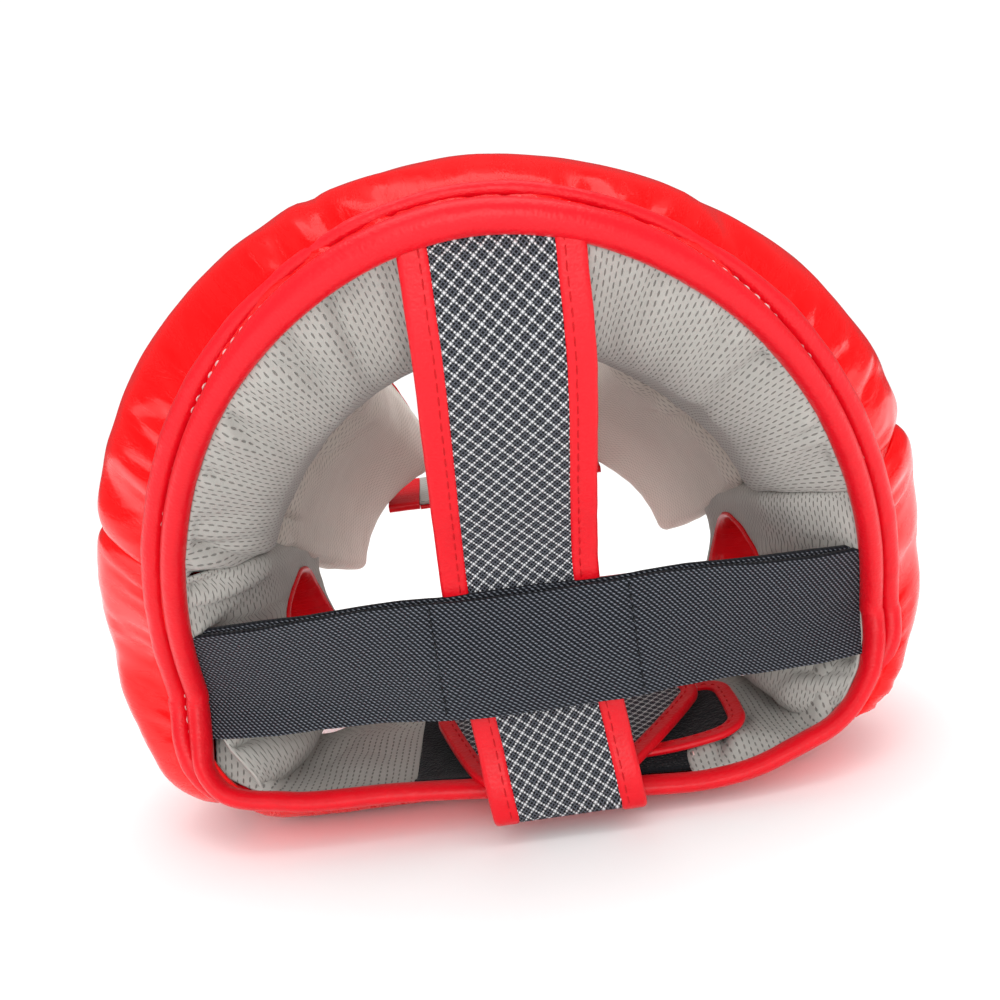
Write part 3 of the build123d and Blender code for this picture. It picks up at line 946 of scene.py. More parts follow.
# ------------------------------------------------------------------ padded shell
@dataclass(frozen=True)
class Pad:
    """One padded part of the shell, cut by oval angles and depths; the right-hand one."""

    name: str
    foot: tuple[float, float]
    head: tuple[float, float]
    start: float | None
    end: float
    foot_radius: float
    head_radius: float
    start_radius: float
    end_radius: float
    foot_share: float = 0.0
    head_share: float = 0.0
    start_share: float = 0.0
    end_share: float = 0.0
    taper: float = 30.0
    binding_half: float = 2.8
    nape_wrap: float = 0.15
    form: HeadForm = HeadForm()

    def domain(self, step: float) -> tuple[Grid, Grid, Grid]:
        """Oval angle, depth and depth behind the rim on a grid, finer at the edges.

        Args:
            step: Rough point spacing.

        Returns:
            Angle, y and rim distance grids; rows run across the head, columns along it.
        """
        front = self.form.rim.setback if self.start is None else self.start
        rows = int(math.radians(self.head[0] - self.foot[0]) * MEAN_RADIUS / step)
        columns = int(1.25 * (self.end - front + 30.0) / step)
        p, q = (0.45 * (1 - np.cos(math.pi * t)) / 2 + 0.55 * t
                for t in (np.linspace(0, 1, rows), np.linspace(0, 1, columns)))
        low = self.foot[0] + (self.foot[1] - self.foot[0]) * q[None]
        high = self.head[0] + (self.head[1] - self.head[0]) * q[None]
        angle = low + (high - low) * p[:, None]
        if self.start is None:
            _, rim_z = self.form.rim.at(angle)
            begin = self.form.rim.depth(rim_z) + 1.0
        else:
            begin = np.full_like(angle, self.start)
        y = begin + (self.end - begin) * q[None]
        return angle, y, y - begin

    def rounding(self, angle: Grid, y: Grid, behind: Grid) -> Grid:
        """Share of the full thickness, falling off round the pad's edges."""
        span = MEAN_RADIUS * math.pi / 180.0
        q = behind / np.maximum(behind.max(axis=1, keepdims=True), 1e-6)
        low = self.foot[0] + (self.foot[1] - self.foot[0]) * q
        high = self.head[0] + (self.head[1] - self.head[0]) * q
        share = np.ones_like(angle)
        for distance, radius, floor in (
                ((angle - low) * span, self.foot_radius, self.foot_share),
                ((high - angle) * span, self.head_radius, self.head_share),
                (behind, self.start_radius, self.start_share),
                (self.end - y, self.end_radius, self.end_share)):
            if radius:
                part = np.clip(distance / radius, 0.0, 1.0)
                share = share * (floor + (1 - floor) * np.sqrt(1 - (1 - part) ** 2))
        return share

    def faces(self, step: float) -> tuple[Grid, Grid, Grid, Grid]:
        """Outer and inner faces with their places.

        Args:
            step: Rough point spacing.

        Returns:
            Outer points, inner points, angle grid and rim distance grid.
        """
        angle, y, behind = self.domain(step)
        outer = np.stack(self.form.face(self.form.outer_sizes, angle, y), axis=2)
        inner = np.stack(self.form.face(self.form.inner_sizes, angle, y), axis=2)
        if self.start is None:
            share = np.clip(behind / self.taper, 0.0, 1.0)[..., None]
            slow, quick = np.sin(share * math.pi / 2), np.sqrt(1 - (1 - share) ** 2)
            rim_outer = np.stack(self.form.rim.at(angle, self.binding_half), axis=2)
            rim_inner = np.stack(self.form.rim.at(angle, -self.binding_half), axis=2)
            outer = rim_outer + (outer - rim_outer) * (0.55 * quick + 0.45 * slow)
            inner = rim_inner + (inner - rim_inner) * slow
        if self.end < 160.0 and self.start is None and self.foot[0] < 0.0:
            for face in (outer, inner):
                low = 1 - smoothstep(35.0, 80.0, face[..., 1])
                face[..., 0] *= 1 - self.nape_wrap * smoothstep(128.0, 160.0, y) * low
        share = self.rounding(angle, y, behind)[..., None]
        middle, half = (outer + inner) / 2, (outer - inner) / 2
        faces = []
        for sign in (1.0, -1.0):
            flat = middle + sign * half * share
            faces.append(np.stack([flat[..., 0], y, flat[..., 1]], axis=2))
        return faces[0], faces[1], angle, behind


@dataclass(frozen=True)
class Settling:
    """How one side of the soft shell has sagged: millimetres, and a share for the spread."""

    bulge: float
    tuck: float
    spread: float


@dataclass
class PaddedShell:
    """Forehead, side and cheek pads with their ear openings."""

    maker: MeshMaker
    wardrobe: Wardrobe
    step: float = 1.7
    ear: tuple[float, float] = (117.0, 52.0)
    ear_half: tuple[float, float] = (25.5, 25.5)
    sleeve: float = 1.4
    form: HeadForm = HeadForm()
    settled: dict[Side, Settling] = field(default_factory=lambda: {
        Side.LEFT: Settling(4.5, 2.0, 0.02), Side.RIGHT: Settling(1.0, 9.0, 0.0)})
    built: dict[Side, tuple[Grid, Grid]] = field(default_factory=dict)
    forehead: Pad = Pad("forehead", (20.2, 20.2), (159.8, 159.8), None, 88.3, 7.0, 7.0, 0.0,
                        15.0, foot_share=0.8, head_share=0.8)
    side: Pad = Pad("side", (-27.0, -27.0), (20.0, 20.0), None, 158.0, 16.0, 7.0, 0.0, 16.0,
                    head_share=0.8)
    cheek: Pad = Pad("cheek", (20.2, 4.0), (64.0, 67.0), 88.6, 207.0, 8.0, 16.0, 12.0, 16.0,
                     foot_share=0.65, start_share=0.35)

    def creased(self, face: Grid, behind: Grid, seed: int, outward: float, knit: bool) -> Grid:
        """Press seam gathers and slow dents into a face.

        Args:
            face: Face points.
            behind: Distance behind the rim.
            seed: Chooses the creases.
            outward: 1 when the grid's normals point out of the pad, else -1.
            knit: Whether the face is the knit lining, which folds deeper.

        Returns:
            The displaced face.
        """
        along = arc_lengths(face, 0)[:, face.shape[1] // 3][:, None] + np.zeros(behind.shape)
        if knit:
            gathers = (Gathers(seed, 12.0, 1.9, 2.4, 34.0), Gathers(seed + 1, 4.5, 0.8, 1.0, 20.0),
                       Gathers(seed + 2, 36.0, 3.0, 5.5, 60.0, 0.5))
        else:
            gathers = (Gathers(seed, 9.0, 1.2, 1.8, 18.0), Gathers(seed + 1, 4.0, 0.5, 0.8, 12.0),
                       Gathers(seed + 2, 30.0, 1.6, 5.0, 32.0))
        lift = sum(g.lift(along, behind) for g in gathers)
        lift = lift * smoothstep(0.0, 2.5, behind)
        lift = lift + (0.9 if knit else 0.6) * wave_noise(seed + 3, along / 26.0, behind / 20.0)
        return face + outward * lift[..., None] * normals_of(face)

    def slumped(self, face: Grid, behind: Grid, side: Side) -> Grid:
        """Let the soft outside sag as it lies: wider on the left, tucked in at the foot.

        Args:
            face: Outer points, as on the right-hand side.
            behind: Distance behind the rim.
            side: Side of the wearer.

        Returns:
            The moved points.
        """
        sag = self.settled[side]
        ease = smoothstep(0.0, 14.0, behind) * (1 - smoothstep(120.0, 150.0, face[..., 1]))
        low = 1 - smoothstep(60.0, 120.0, face[..., 2])
        foot = 1 - smoothstep(12.0, 56.0, face[..., 2])
        grown = sag.spread * smoothstep(0.0, 70.0, face[..., 0])
        moved = face.copy()
        moved[..., 0] += ease * (sag.bulge * low - sag.tuck * foot + grown * face[..., 0])
        moved[..., 2] += ease * grown * np.clip(face[..., 2] - 66.0, 0.0, None)
        return moved

    def opened(self, face: Grid) -> tuple[Grid, Grid]:
        """Cut the ear opening out of a face.

        Args:
            face: Face points.

        Returns:
            Points snapped to the cut, and the mask of quads that stay.
        """
        dy = (face[..., 1] - self.ear[0]) / self.ear_half[0]
        dz = (face[..., 2] - self.ear[1]) / self.ear_half[1]
        r = np.sqrt(dy * dy + dz * dz)
        inside = r < 1.0
        every = inside[:-1, :-1] & inside[1:, :-1] & inside[:-1, 1:] & inside[1:, 1:]
        grow = np.where(inside, 1.0 / np.maximum(r, 1e-6), 1.0)
        snapped = face.copy()
        snapped[..., 1] = self.ear[0] + (face[..., 1] - self.ear[0]) * grow
        snapped[..., 2] = self.ear[1] + (face[..., 2] - self.ear[1]) * grow
        return snapped, ~every

    def dress(self, pad: Pad, side: Side | None, seed: int) -> None:
        """Build a pad's leather face and knit lining.

        Args:
            pad: The pad's cut.
            side: Side of the wearer, or None for the middle pad.
            seed: Chooses its creases.
        """
        outer, inner, _, behind = pad.faces(self.step)
        tag = "" if side is None else f"_{side.label}"
        if side is not None:
            outer = self.slumped(outer, behind, side)
            inner[..., 0] -= (self.settled[side].tuck * smoothstep(0.0, 14.0, behind)
                              * (1 - smoothstep(12.0, 56.0, inner[..., 2]))
                              * (1 - smoothstep(120.0, 150.0, inner[..., 1])))
        else:
            slumped = self.slumped(outer * MIRROR, behind, Side.LEFT) * MIRROR
            outer = np.where(outer[..., :1] < 0.0, slumped, outer)
        outer = self.creased(outer, behind, seed, -1.0, False)
        inner = self.creased(inner, behind, seed + 10, 1.0, True)
        keep_outer = keep_inner = None
        # the cheek linings take the paler knit, painted light standing in for the light that
        # reaches them
        knit = {"forehead": self.wardrobe.knit, "side": self.wardrobe.knit_turned,
                "cheek": self.wardrobe.knit_pale}[pad.name]
        if pad is self.side:
            self.built[side] = (outer, inner)
            (outer, keep_outer), (inner, keep_inner) = self.opened(outer), self.opened(inner)
        for face, keep, part, slot, material, thick, nodes in (
                (outer, keep_outer, "leather", "red_leather", self.wardrobe.leather, 1.2,
                 ("cover", "core")),
                (inner, keep_inner, "knit", "mesh_lining", knit, -1.0, ("lining",))):
            if side is Side.LEFT:
                face = face * MIRROR
                thick = -thick
            obj = self.maker.sheet(f"{pad.name}_{part}{tag}", face, thickness=thick, keep=keep)
            place(obj, Body.SHELL, material, [f"{pad.name}_{n}{tag}" for n in nodes])

    @staticmethod
    def stand(face: Grid, y: Grid, z: Grid) -> Grid:
        """How far out a built face stands at places across it.

        Args:
            face: Face points.
            y: Depths.
            z: Heights.

        Returns:
            X at each place.
        """
        flat = face.reshape(-1, 3)
        gap = (flat[:, 1] - y[..., None]) ** 2 + (flat[:, 2] - z[..., None]) ** 2
        weight = np.exp(-(gap - gap.min(axis=-1, keepdims=True)) / 6.0)
        return (weight * flat[:, 0]).sum(axis=-1) / weight.sum(axis=-1)

    def ear_sleeve(self, side: Side, seed: int) -> None:
        """Line an ear opening with soft leather rolled over both faces.

        Args:
            side: Side of the wearer.
            seed: Chooses its wrinkles.
        """
        turn = np.linspace(0.0, 2 * math.pi, 96, endpoint=False)[:, None]
        through = np.linspace(0.0, 1.0, 40)[None]
        lip = np.exp(-through / 0.05) + np.exp(-(1 - through) / 0.05)
        wrinkle = 0.9 * wave_noise(seed, turn * 3.0, through * 5.0) * (1 - 0.6 * lip)
        reach = 1.0 + (3.2 * lip - 1.6 + wrinkle) / self.ear_half[0]
        y = self.ear[0] + self.ear_half[0] * reach * np.cos(turn)
        z = self.ear[1] + self.ear_half[1] * reach * np.sin(turn)
        ring_y = self.ear[0] + self.ear_half[0] * 1.04 * np.cos(turn)
        ring_z = self.ear[1] + self.ear_half[1] * 1.04 * np.sin(turn)
        outer, inner = (self.stand(face, ring_y, ring_z) + proud for face, proud in
                        zip(self.built[side], (self.sleeve, -self.sleeve)))
        x = side.value * (inner + (outer - inner) * through)
        obj = self.maker.sheet(f"ear_sleeve_{side.label}", np.stack([x, y, z], axis=2),
                               thickness=self.sleeve * side.value, closed=True)
        place(obj, Body.SHELL, self.wardrobe.lining_leather,
              [f"ear_ring_{side.label}"])

    def build(self) -> None:
        """Build every pad and both ear sleeves."""
        self.dress(self.forehead, None, 11)
        for number, side in enumerate(Side):
            self.dress(self.side, side, 31 + 100 * number)
            self.dress(self.cheek, side, 51 + 100 * number)
            self.ear_sleeve(side, 71 + number)


@dataclass
class RimTrim:
    """Rolled binding, welt and seams round the crown opening, and the brow's piping."""

    maker: MeshMaker
    wardrobe: Wardrobe
    rim: Rim = Rim()
    form: HeadForm = HeadForm()
    half_width: float = 4.5
    half_depth: float = 4.3
    step: float = 1.2
    welt_radius: float = 3.4
    welt_outset: float = 6.6
    welt_span: tuple[float, float] = (-28.0, 210.0)
    welt_step: float = 1.5
    brow_span: tuple[float, float] = (58.0, 122.0)
    brow_y: float = 90.0

    def route(self, angles: Grid, outset: float, back: float) -> Grid:
        """Points of the rim moved outwards and towards the face."""
        x, z = self.rim.at(angles, outset)
        _, rim_z = self.rim.at(angles)
        return np.stack([x, self.rim.depth(rim_z) + back, z], axis=1)

    def outwards(self, route: Grid) -> Grid:
        """Direction away from the middle of the opening at each point."""
        away = route - (0.0, 0.0, 55.0)
        away[:, 1] = 0.0
        return away / np.linalg.norm(away, axis=1, keepdims=True)

    def binding(self) -> None:
        """Roll the binding round the whole opening."""
        angles = np.linspace(-90.0, 270.0, 721)[:-1]
        route = resample(self.route(angles, 0.0, -0.3), self.step, closed=True)
        run = np.arange(len(route)) * self.step
        section = oval_section(self.half_width, self.half_depth, 28)
        turn = np.arctan2(section[:, 1], section[:, 0])[:, None]
        swell = 1.0 + 0.035 * wave_noise(5, run[None] / 30.0, turn * 1.2)
        swell = swell - 0.05 * np.exp(-(turn - 0.25) ** 2 / 0.02)
        shaped = section[:, None] * swell[..., None]
        slim = (0.78 + 0.22 * smoothstep(135.0, 170.0, route[:, 2])
                - 0.14 * (1.0 - smoothstep(18.0, 42.0, route[:, 2])))
        shaped[..., 0] *= slim
        obj = self.maker.sweep("rim_binding", route, shaped, self.outwards(route), closed=True)
        place(obj, Body.SHELL, self.wardrobe.tape, ["crown_binding"])

    def welt(self) -> None:
        """Lay the welt and its groove stitches outside the binding."""
        low, high = self.welt_span
        angles = np.linspace(low, high, 500)
        ends = smoothstep(0.0, 24.0, np.minimum(angles - low, high - angles))
        route = resample(self.route(angles, self.welt_outset - 5.6 * (1 - ends),
                                    2.4 + 3.4 * (1 - ends)), self.welt_step)
        run = np.arange(len(route)) * self.welt_step
        swell = 1.0 + 0.08 * wave_noise(8, run / 14.0) - 0.4 * smoothstep(140.0, 172.0, route[:, 2])
        section = oval_section(self.welt_radius, self.welt_radius * 1.15, 18)
        obj = self.maker.sweep("rim_welt", route, section[:, None] * swell[None, :, None],
                               self.outwards(route))
        place(obj, Body.SHELL, self.wardrobe.tape, ["crown_welt"])
        groove = resample(self.route(angles, (self.welt_outset - 2.4) * ends, 0.1), 2.0)
        up = self.outwards(groove) * 0.5 + (0.0, -1.0, 0.0)
        seam = self.maker.stitches("rim_groove_stitches", groove, up, length=2.6, gap=1.4,
                                   radius=0.32)
        # painted highlight: the groove stitches take the pale thread, whose colour stands in for
        # light glinting on them
        place(seam, Body.SHELL, self.wardrobe.painted_glint_thread)

    def brow(self) -> None:
        """Pipe the forehead pad's lower edge between the cheeks."""
        angles = np.linspace(*self.brow_span, 200)
        deep = np.full(200, self.brow_y)
        outer, inner = (np.stack(self.form.face(sizes, angles, deep - 2.0), axis=1)
                        for sizes in (self.form.outer_sizes, self.form.inner_sizes))
        middle = (outer + inner) / 2
        route = resample(np.stack([middle[:, 0], deep, middle[:, 1]], axis=1), self.welt_step)
        obj = self.maker.sweep("brow_piping", route, oval_section(3.4, 2.4, 16),
                               self.outwards(route))
        place(obj, Body.SHELL, self.wardrobe.tape, ["brow_binding"])

    def build(self) -> None:
        """Build the binding, welt and piping."""
        self.binding()
        self.welt()
        self.brow()


@dataclass
class RearPanel:
    """Flat padded panel under the head that curls up at the nape."""

    maker: MeshMaker
    wardrobe: Wardrobe
    start: float = 54.0
    bend: float = 118.0
    bend_radius: float = 52.0
    bend_angle: float = 85.0
    half_width: float = 101.0
    nape_half_width: float = 64.0
    loop_half_width: float = 44.0
    thickness: float = 12.0
    seam_insets: tuple[float, float] = (2.0, 4.6)
    seam_span: tuple[float, float] = (2.0, 62.0)
    rim: Rim = Rim()

    def surface(self, x: Grid, run: Grid, height: Grid) -> Grid:
        """Points at a place across, a run along the panel and a height above its base.

        Args:
            x: Place across the head.
            run: Distance from the panel's crown edge.
            height: Height above the base, towards the face.

        Returns:
            Points with x, y, z last.
        """
        flat = self.bend - self.start
        turn = np.clip((run - flat) / self.bend_radius, 0.0, math.radians(self.bend_angle))
        along = np.minimum(run, flat)
        y = self.start + along + (self.bend_radius - height) * np.sin(turn)
        z = self.bend_radius - (self.bend_radius - height) * np.cos(turn)
        return np.stack(np.broadcast_arrays(x, y, z), axis=-1)

    def tucked(self, points: Grid, run: Grid) -> Grid:
        """Pull the wearer's right front corner in under the rim."""
        shift = 6.0 * smoothstep(50.0, 104.0, points[..., 0]) * (1 - smoothstep(10.0, 70.0, run))
        return points - shift[..., None] * (1.0, 0.0, 0.0)

    def length(self) -> float:
        """Run of the panel from the crown edge to the nape."""
        return self.bend - self.start + self.bend_radius * math.radians(self.bend_angle)

    def edge_x(self, run: Grid) -> Grid:
        """Half width of the panel along its run, narrowing towards the nape."""
        return self.half_width + (self.nape_half_width - self.half_width) * smoothstep(
            58.0, 82.0, run)

    def cover(self) -> None:
        """Stretch the leather under the panel, rounded at its edges."""
        run = np.linspace(0.0, self.length(), 110)[None]
        share = np.linspace(-1.0, 1.0, 170)[:, None]
        x = share * self.edge_x(run)
        inset = (1 - np.abs(share)) * self.edge_x(run)
        ends = np.minimum(run, self.length() - run)
        height = 7.5 * (np.exp(-inset / 5.0) + np.exp(-ends / 3.5)) * 0.8
        front = np.exp(-(run / 13.0) ** 2)
        height = np.minimum(height, 9.0) * (1 - front) + (self.rim.bottom(x) - 2.0) * front
        height = height + 0.5 + 0.5 * wave_noise(91, x / 24.0, run / 20.0)
        points = self.tucked(self.surface(x, run, height), run)
        obj = self.maker.sheet("rear_leather", points, thickness=-1.2)
        place(obj, Body.SHELL, self.wardrobe.leather, ["rear_cover", "rear_core"])

    def lining(self, side: Side) -> None:
        """Lay one side's knit lining with the folds of its free end.

        Args:
            side: Side of the wearer.
        """
        run = np.linspace(0.0, self.length(), 130)[None]
        share = np.linspace(0.0, 1.0, 90)[:, None]
        inner = self.loop_half_width - 1.0
        x = inner + share * (self.edge_x(run) + 6.0 * (1 - smoothstep(50.0, 80.0, run)) - inner)
        puff = 3.4 * np.sqrt(np.clip(1 - (1 - np.minimum(share, 1 - share) * 5).clip(0) ** 2, 0, 1))
        wall = 25.0 * smoothstep(80.0, 104.0, x) ** 1.4
        seed = 95 if side is Side.LEFT else 96
        lift = wave_noise(seed, x / 13.0, run / 16.0, octaves=3) * 1.3
        fold = Gathers(seed, 14.0, 2.2, 3.0, 45.0, 0.6).lift(x + 0.0 * run, run + 0.0 * x)
        edges = np.minimum(1.0, 8 * np.minimum(share, 1 - share)) * smoothstep(0.0, 10.0, run)
        front = smoothstep(-2.0, 13.0, run)
        edge = self.rim.bottom(side.value * x) + 1.5
        height = edge + (self.thickness + puff + wall - 1.5 - edge) * front + (lift + fold) * edges
        points = self.surface(x, run, height)
        points[..., 1] += 0.41 * wall - 3.5
        points = self.tucked(points * (side.value, 1.0, 1.0), run)
        obj = self.maker.sheet(f"rear_lining_{side.label}_knit", points, thickness=-side.value)
        place(obj, Body.SHELL, self.wardrobe.knit, [f"rear_lining_{side.label}"])
        # painted highlight: the right-hand seams take the pale thread, whose colour stands in for
        # light glinting on them; the left-hand ones stay red
        thread = self.wardrobe.red_thread if side is Side.LEFT else self.wardrobe.painted_glint_thread
        line = np.linspace(*self.seam_span, 50)
        for number, offset in enumerate(self.seam_insets):
            seam = self.surface(inner + offset + 0 * line, line, self.thickness + 0.6 + 0 * line)
            stitches = self.maker.stitches(f"rear_seam_{side.label}_{number + 1}",
                                           seam * (side.value, 1.0, 1.0),
                                           np.array([0.0, 0.0, 1.0]), 2.4, 1.4, 0.35)
            place(stitches, Body.SHELL, thread)

    def loop_panel(self) -> None:
        """Sew the loop-pile panel down the middle."""
        run = np.linspace(0.0, self.length(), 120)[None]
        x = np.linspace(-self.loop_half_width, self.loop_half_width, 80)[:, None]
        front = smoothstep(-2.0, 13.0, run)
        edge = self.rim.bottom(x) + 1.5
        height = edge + (self.thickness + 0.2 - edge) * front
        height = height + 0.3 * wave_noise(98, x / 15.0, run / 15.0)
        obj = self.maker.sheet("loop_pile_panel", self.surface(x, run, height), thickness=-1.4)
        place(obj, Body.SHELL, self.wardrobe.loop, ["rear_loop_panel"])

    def nape(self) -> None:
        """Bind the nape edge."""
        x = np.linspace(-self.nape_half_width - 1.0, self.nape_half_width + 1.0, 120)
        run = np.full(120, self.length() + 1.0)
        height = 6.0 + 0.8 * wave_noise(99, x / 30.0)
        route = self.surface(x, run, height)
        turn = math.radians(self.bend_angle)
        guide = np.array([0.0, -math.sin(turn), math.cos(turn)])
        obj = self.maker.sweep("nape_binding", route, boxed_section(7.2, 2.6, 2.2), guide)
        place(obj, Body.SHELL, self.wardrobe.tape, ["neck_binding"])

    def build(self) -> None:
        """Build the panel from the outside in."""
        self.cover()
        for side in Side:
            self.lining(side)
        self.loop_panel()
        self.nape()


# ------------------------------------------------------------------ straps
@dataclass
class ElasticBand:
    """Two layers of elastic across the rear, sewn into a channel for the crown strap."""

    maker: MeshMaker
    wardrobe: Wardrobe
    low: float = 37.0
    high: float = 72.0
    front_y: float = 33.2
    channel: float = 29.0
    half_span: float = 108.0
    behind_rim: float = 1.0
    lift: float = 5.0
    thickness: float = 1.5
    stretch: float = 1.08
    rim: Rim = Rim()

    def layer(self, name: str, node: str, back: float, rise: float, seed: int) -> None:
        """Weave one layer from side to side.

        Args:
            name: Piece name.
            node: CAD node it stands for.
            back: How far behind the front layer it sits.
            rise: How much higher it sits.
            seed: Chooses its ripples.
        """
        x = np.linspace(-self.half_span, self.half_span, 420)[:, None]
        slant = np.clip((np.abs(x) - self.channel) / (self.half_span - self.channel), 0.0, 1.0)
        flat = np.linspace(self.low, self.high, 60)[None]
        z = flat + rise + self.lift * (1.0 - smoothstep(0.0, 1.0, slant))
        y = self.front_y + slant * (self.rim.depth(z) + self.behind_rim - self.front_y)
        bow = 0.35 * np.cos((flat - self.low) / (self.high - self.low) * math.pi * 2)
        ripple = 0.28 * wave_noise(seed, x / 18.0, z / 14.0)
        pinch = 0.5 * np.exp(-((np.abs(x) - self.channel) / 1.6) ** 2)
        y = y + back + ripple + pinch + bow * 0.3
        waver = 0.5 * wave_noise(seed + 1, x / 30.0) * np.ones_like(z)
        points = np.stack(np.broadcast_arrays(x, y, z + waver), axis=-1)
        flat_u = arc_lengths(points, 0)
        flat_v = np.broadcast_to(flat - self.low, points.shape[:2])
        obj = self.maker.sheet(name, points, thickness=self.thickness, fabric=(flat_u, flat_v))
        place(obj, Body.SHELL, self.wardrobe.elastic, [node])

    def seams(self) -> None:
        """Stitch the channel on both sides."""
        for number, x in enumerate((-self.channel, self.channel)):
            z = np.linspace(self.low + 1.0, self.high - 1.0, 30) + self.lift
            sway = 0.4 * wave_noise(60 + number, z / 12.0)
            line = np.stack([x + sway, np.full(30, self.front_y + 0.35), z], axis=1)
            obj = self.maker.stitches(f"elastic_channel_seam_{number + 1}", line,
                                      np.array([0.0, -1.0, 0.0]), 2.2, 1.1, 0.3)
            place(obj, Body.SHELL, self.wardrobe.dark_thread)

    def build(self) -> None:
        """Weave both layers and sew them."""
        self.layer("elastic_front_webbing", "elastic_front", 0.0, 0.0, 61)
        self.layer("elastic_back_webbing", "elastic_back", 2.6, 1.1, 64)
        self.seams()


@dataclass
class CrownStrap:
    """Spacer-mesh strap with bound edges that hangs from the forehead rim to the rear."""

    maker: MeshMaker
    wardrobe: Wardrobe
    mesh_half: float = 15.6
    edge: float = 23.0
    thickness: float = 3.0
    step: float = 1.2
    path: tuple[tuple[float, float], ...] = (
        (-1.6, 176.5), (-1.3, 172.0), (-0.4, 165.0), (2.0, 150.0), (8.0, 133.0), (22.0, 109.0),
        (36.5, 84.0), (39.6, 72.0),
        (39.8, 50.0), (39.6, 30.0), (36.6, 12.5), (37.4, 8.6), (41.0, 8.0), (43.5, 10.5),
        (44.5, 13.0))
    sway: tuple[tuple[float, float], ...] = (
        (8.0, 3.0), (39.0, 0.0), (78.0, -1.5), (135.0, 2.5), (170.0, 4.0))

    def route(self, x: float) -> Grid:
        """Centre line of the strap at a place across it."""
        line = resample(np.array(self.path), self.step)
        sway = hermite(line[:, 1], *zip(*self.sway))
        return np.stack([x + sway, line[:, 0], line[:, 1]], axis=1)

    def build(self) -> None:
        """Build the mesh, both bound edges and their stitches."""
        middle = self.route(0.0)
        guide = np.array([1.0, 0.0, 0.0])
        cloth = self.maker.sweep("crown_strap_mesh", middle,
                                 boxed_section(self.mesh_half, self.thickness / 2 - 0.2, 0.6),
                                 guide)
        place(cloth, Body.SHELL, self.wardrobe.spacer, ["crown_strap"])
        tangent, _, _ = frames_along(middle, guide, False)
        for side in Side:
            half = (self.edge - self.mesh_half) / 2
            centre = self.route(side.value * (self.mesh_half + half - 0.2))
            run = np.arange(len(centre)) * self.step
            centre[:, 0] += 0.25 * wave_noise(120 + int(side.value), run / 20.0)
            section = boxed_section(half + 0.3, self.thickness / 2 + 0.25, 1.5)
            tape = self.maker.sweep(f"crown_strap_edge_{side.label}", centre, section, guide)
            place(tape, Body.SHELL, self.wardrobe.tape,
                  [f"strap_piping_{side.label}"])
            front = np.cross(guide, tangent)
            front = front * np.sign(front[len(front) // 2, 1]) * -1.0
            line = centre + front * (self.thickness / 2 + 0.28)
            line[:, 0] -= side.value * (half - 2.2)
            seam = self.maker.stitches(f"crown_strap_seam_{side.label}", line[:-8], front[:-8],
                                       2.8, 0.9, 0.22)
            place(seam, Body.SHELL, self.wardrobe.red_thread)


@dataclass(frozen=True)
class SlopedPlane:
    """A plane through a point, pitched about the x axis, that curls up towards +x."""

    y: float
    z: float
    pitch: float
    curl: float = 0.0
    curl_from: float = 30.0

    def at(self, outline: Grid, height: Grid | float = 0.0) -> Grid:
        """Head coordinates of places across and along the plane.

        Args:
            outline: Places, last axis x and run along the plane.
            height: Height above it.

        Returns:
            Points with x, y, z last.
        """
        turn = math.radians(self.pitch)
        x, run = outline[..., 0], outline[..., 1]
        height = height + self.curl * np.clip(x - self.curl_from, 0.0, None) ** 2
        y = self.y + run * math.cos(turn) - height * math.sin(turn)
        z = self.z + run * math.sin(turn) + height * math.cos(turn)
        return np.stack(np.broadcast_arrays(x, y, z), axis=-1)


def rounded_outline(corners: Sequence[tuple[float, float]], radius: float, step: float = 1.0
                    ) -> Grid:
    """Close an outline with rounded corners.

    Args:
        corners: Corner points in order.
        radius: Corner radius.
        step: Point spacing on the straights.

    Returns:
        Points of the loop.
    """
    corners = np.asarray(corners, float)
    loop = []
    for before, here, after in zip(np.roll(corners, 1, axis=0), corners,
                                   np.roll(corners, -1, axis=0)):
        arms = [(before - here) / np.linalg.norm(before - here),
                (after - here) / np.linalg.norm(after - here)]
        half = math.acos(np.clip(arms[0] @ arms[1], -1.0, 1.0)) / 2
        cut = radius / math.tan(half)
        t = np.linspace(0.0, 1.0, 7)[:, None]
        loop.append((1 - t) ** 2 * (here + arms[0] * cut) + 2 * t * (1 - t) * here
                    + t * t * (here + arms[1] * cut))
    return resample(np.concatenate(loop), step, closed=True)


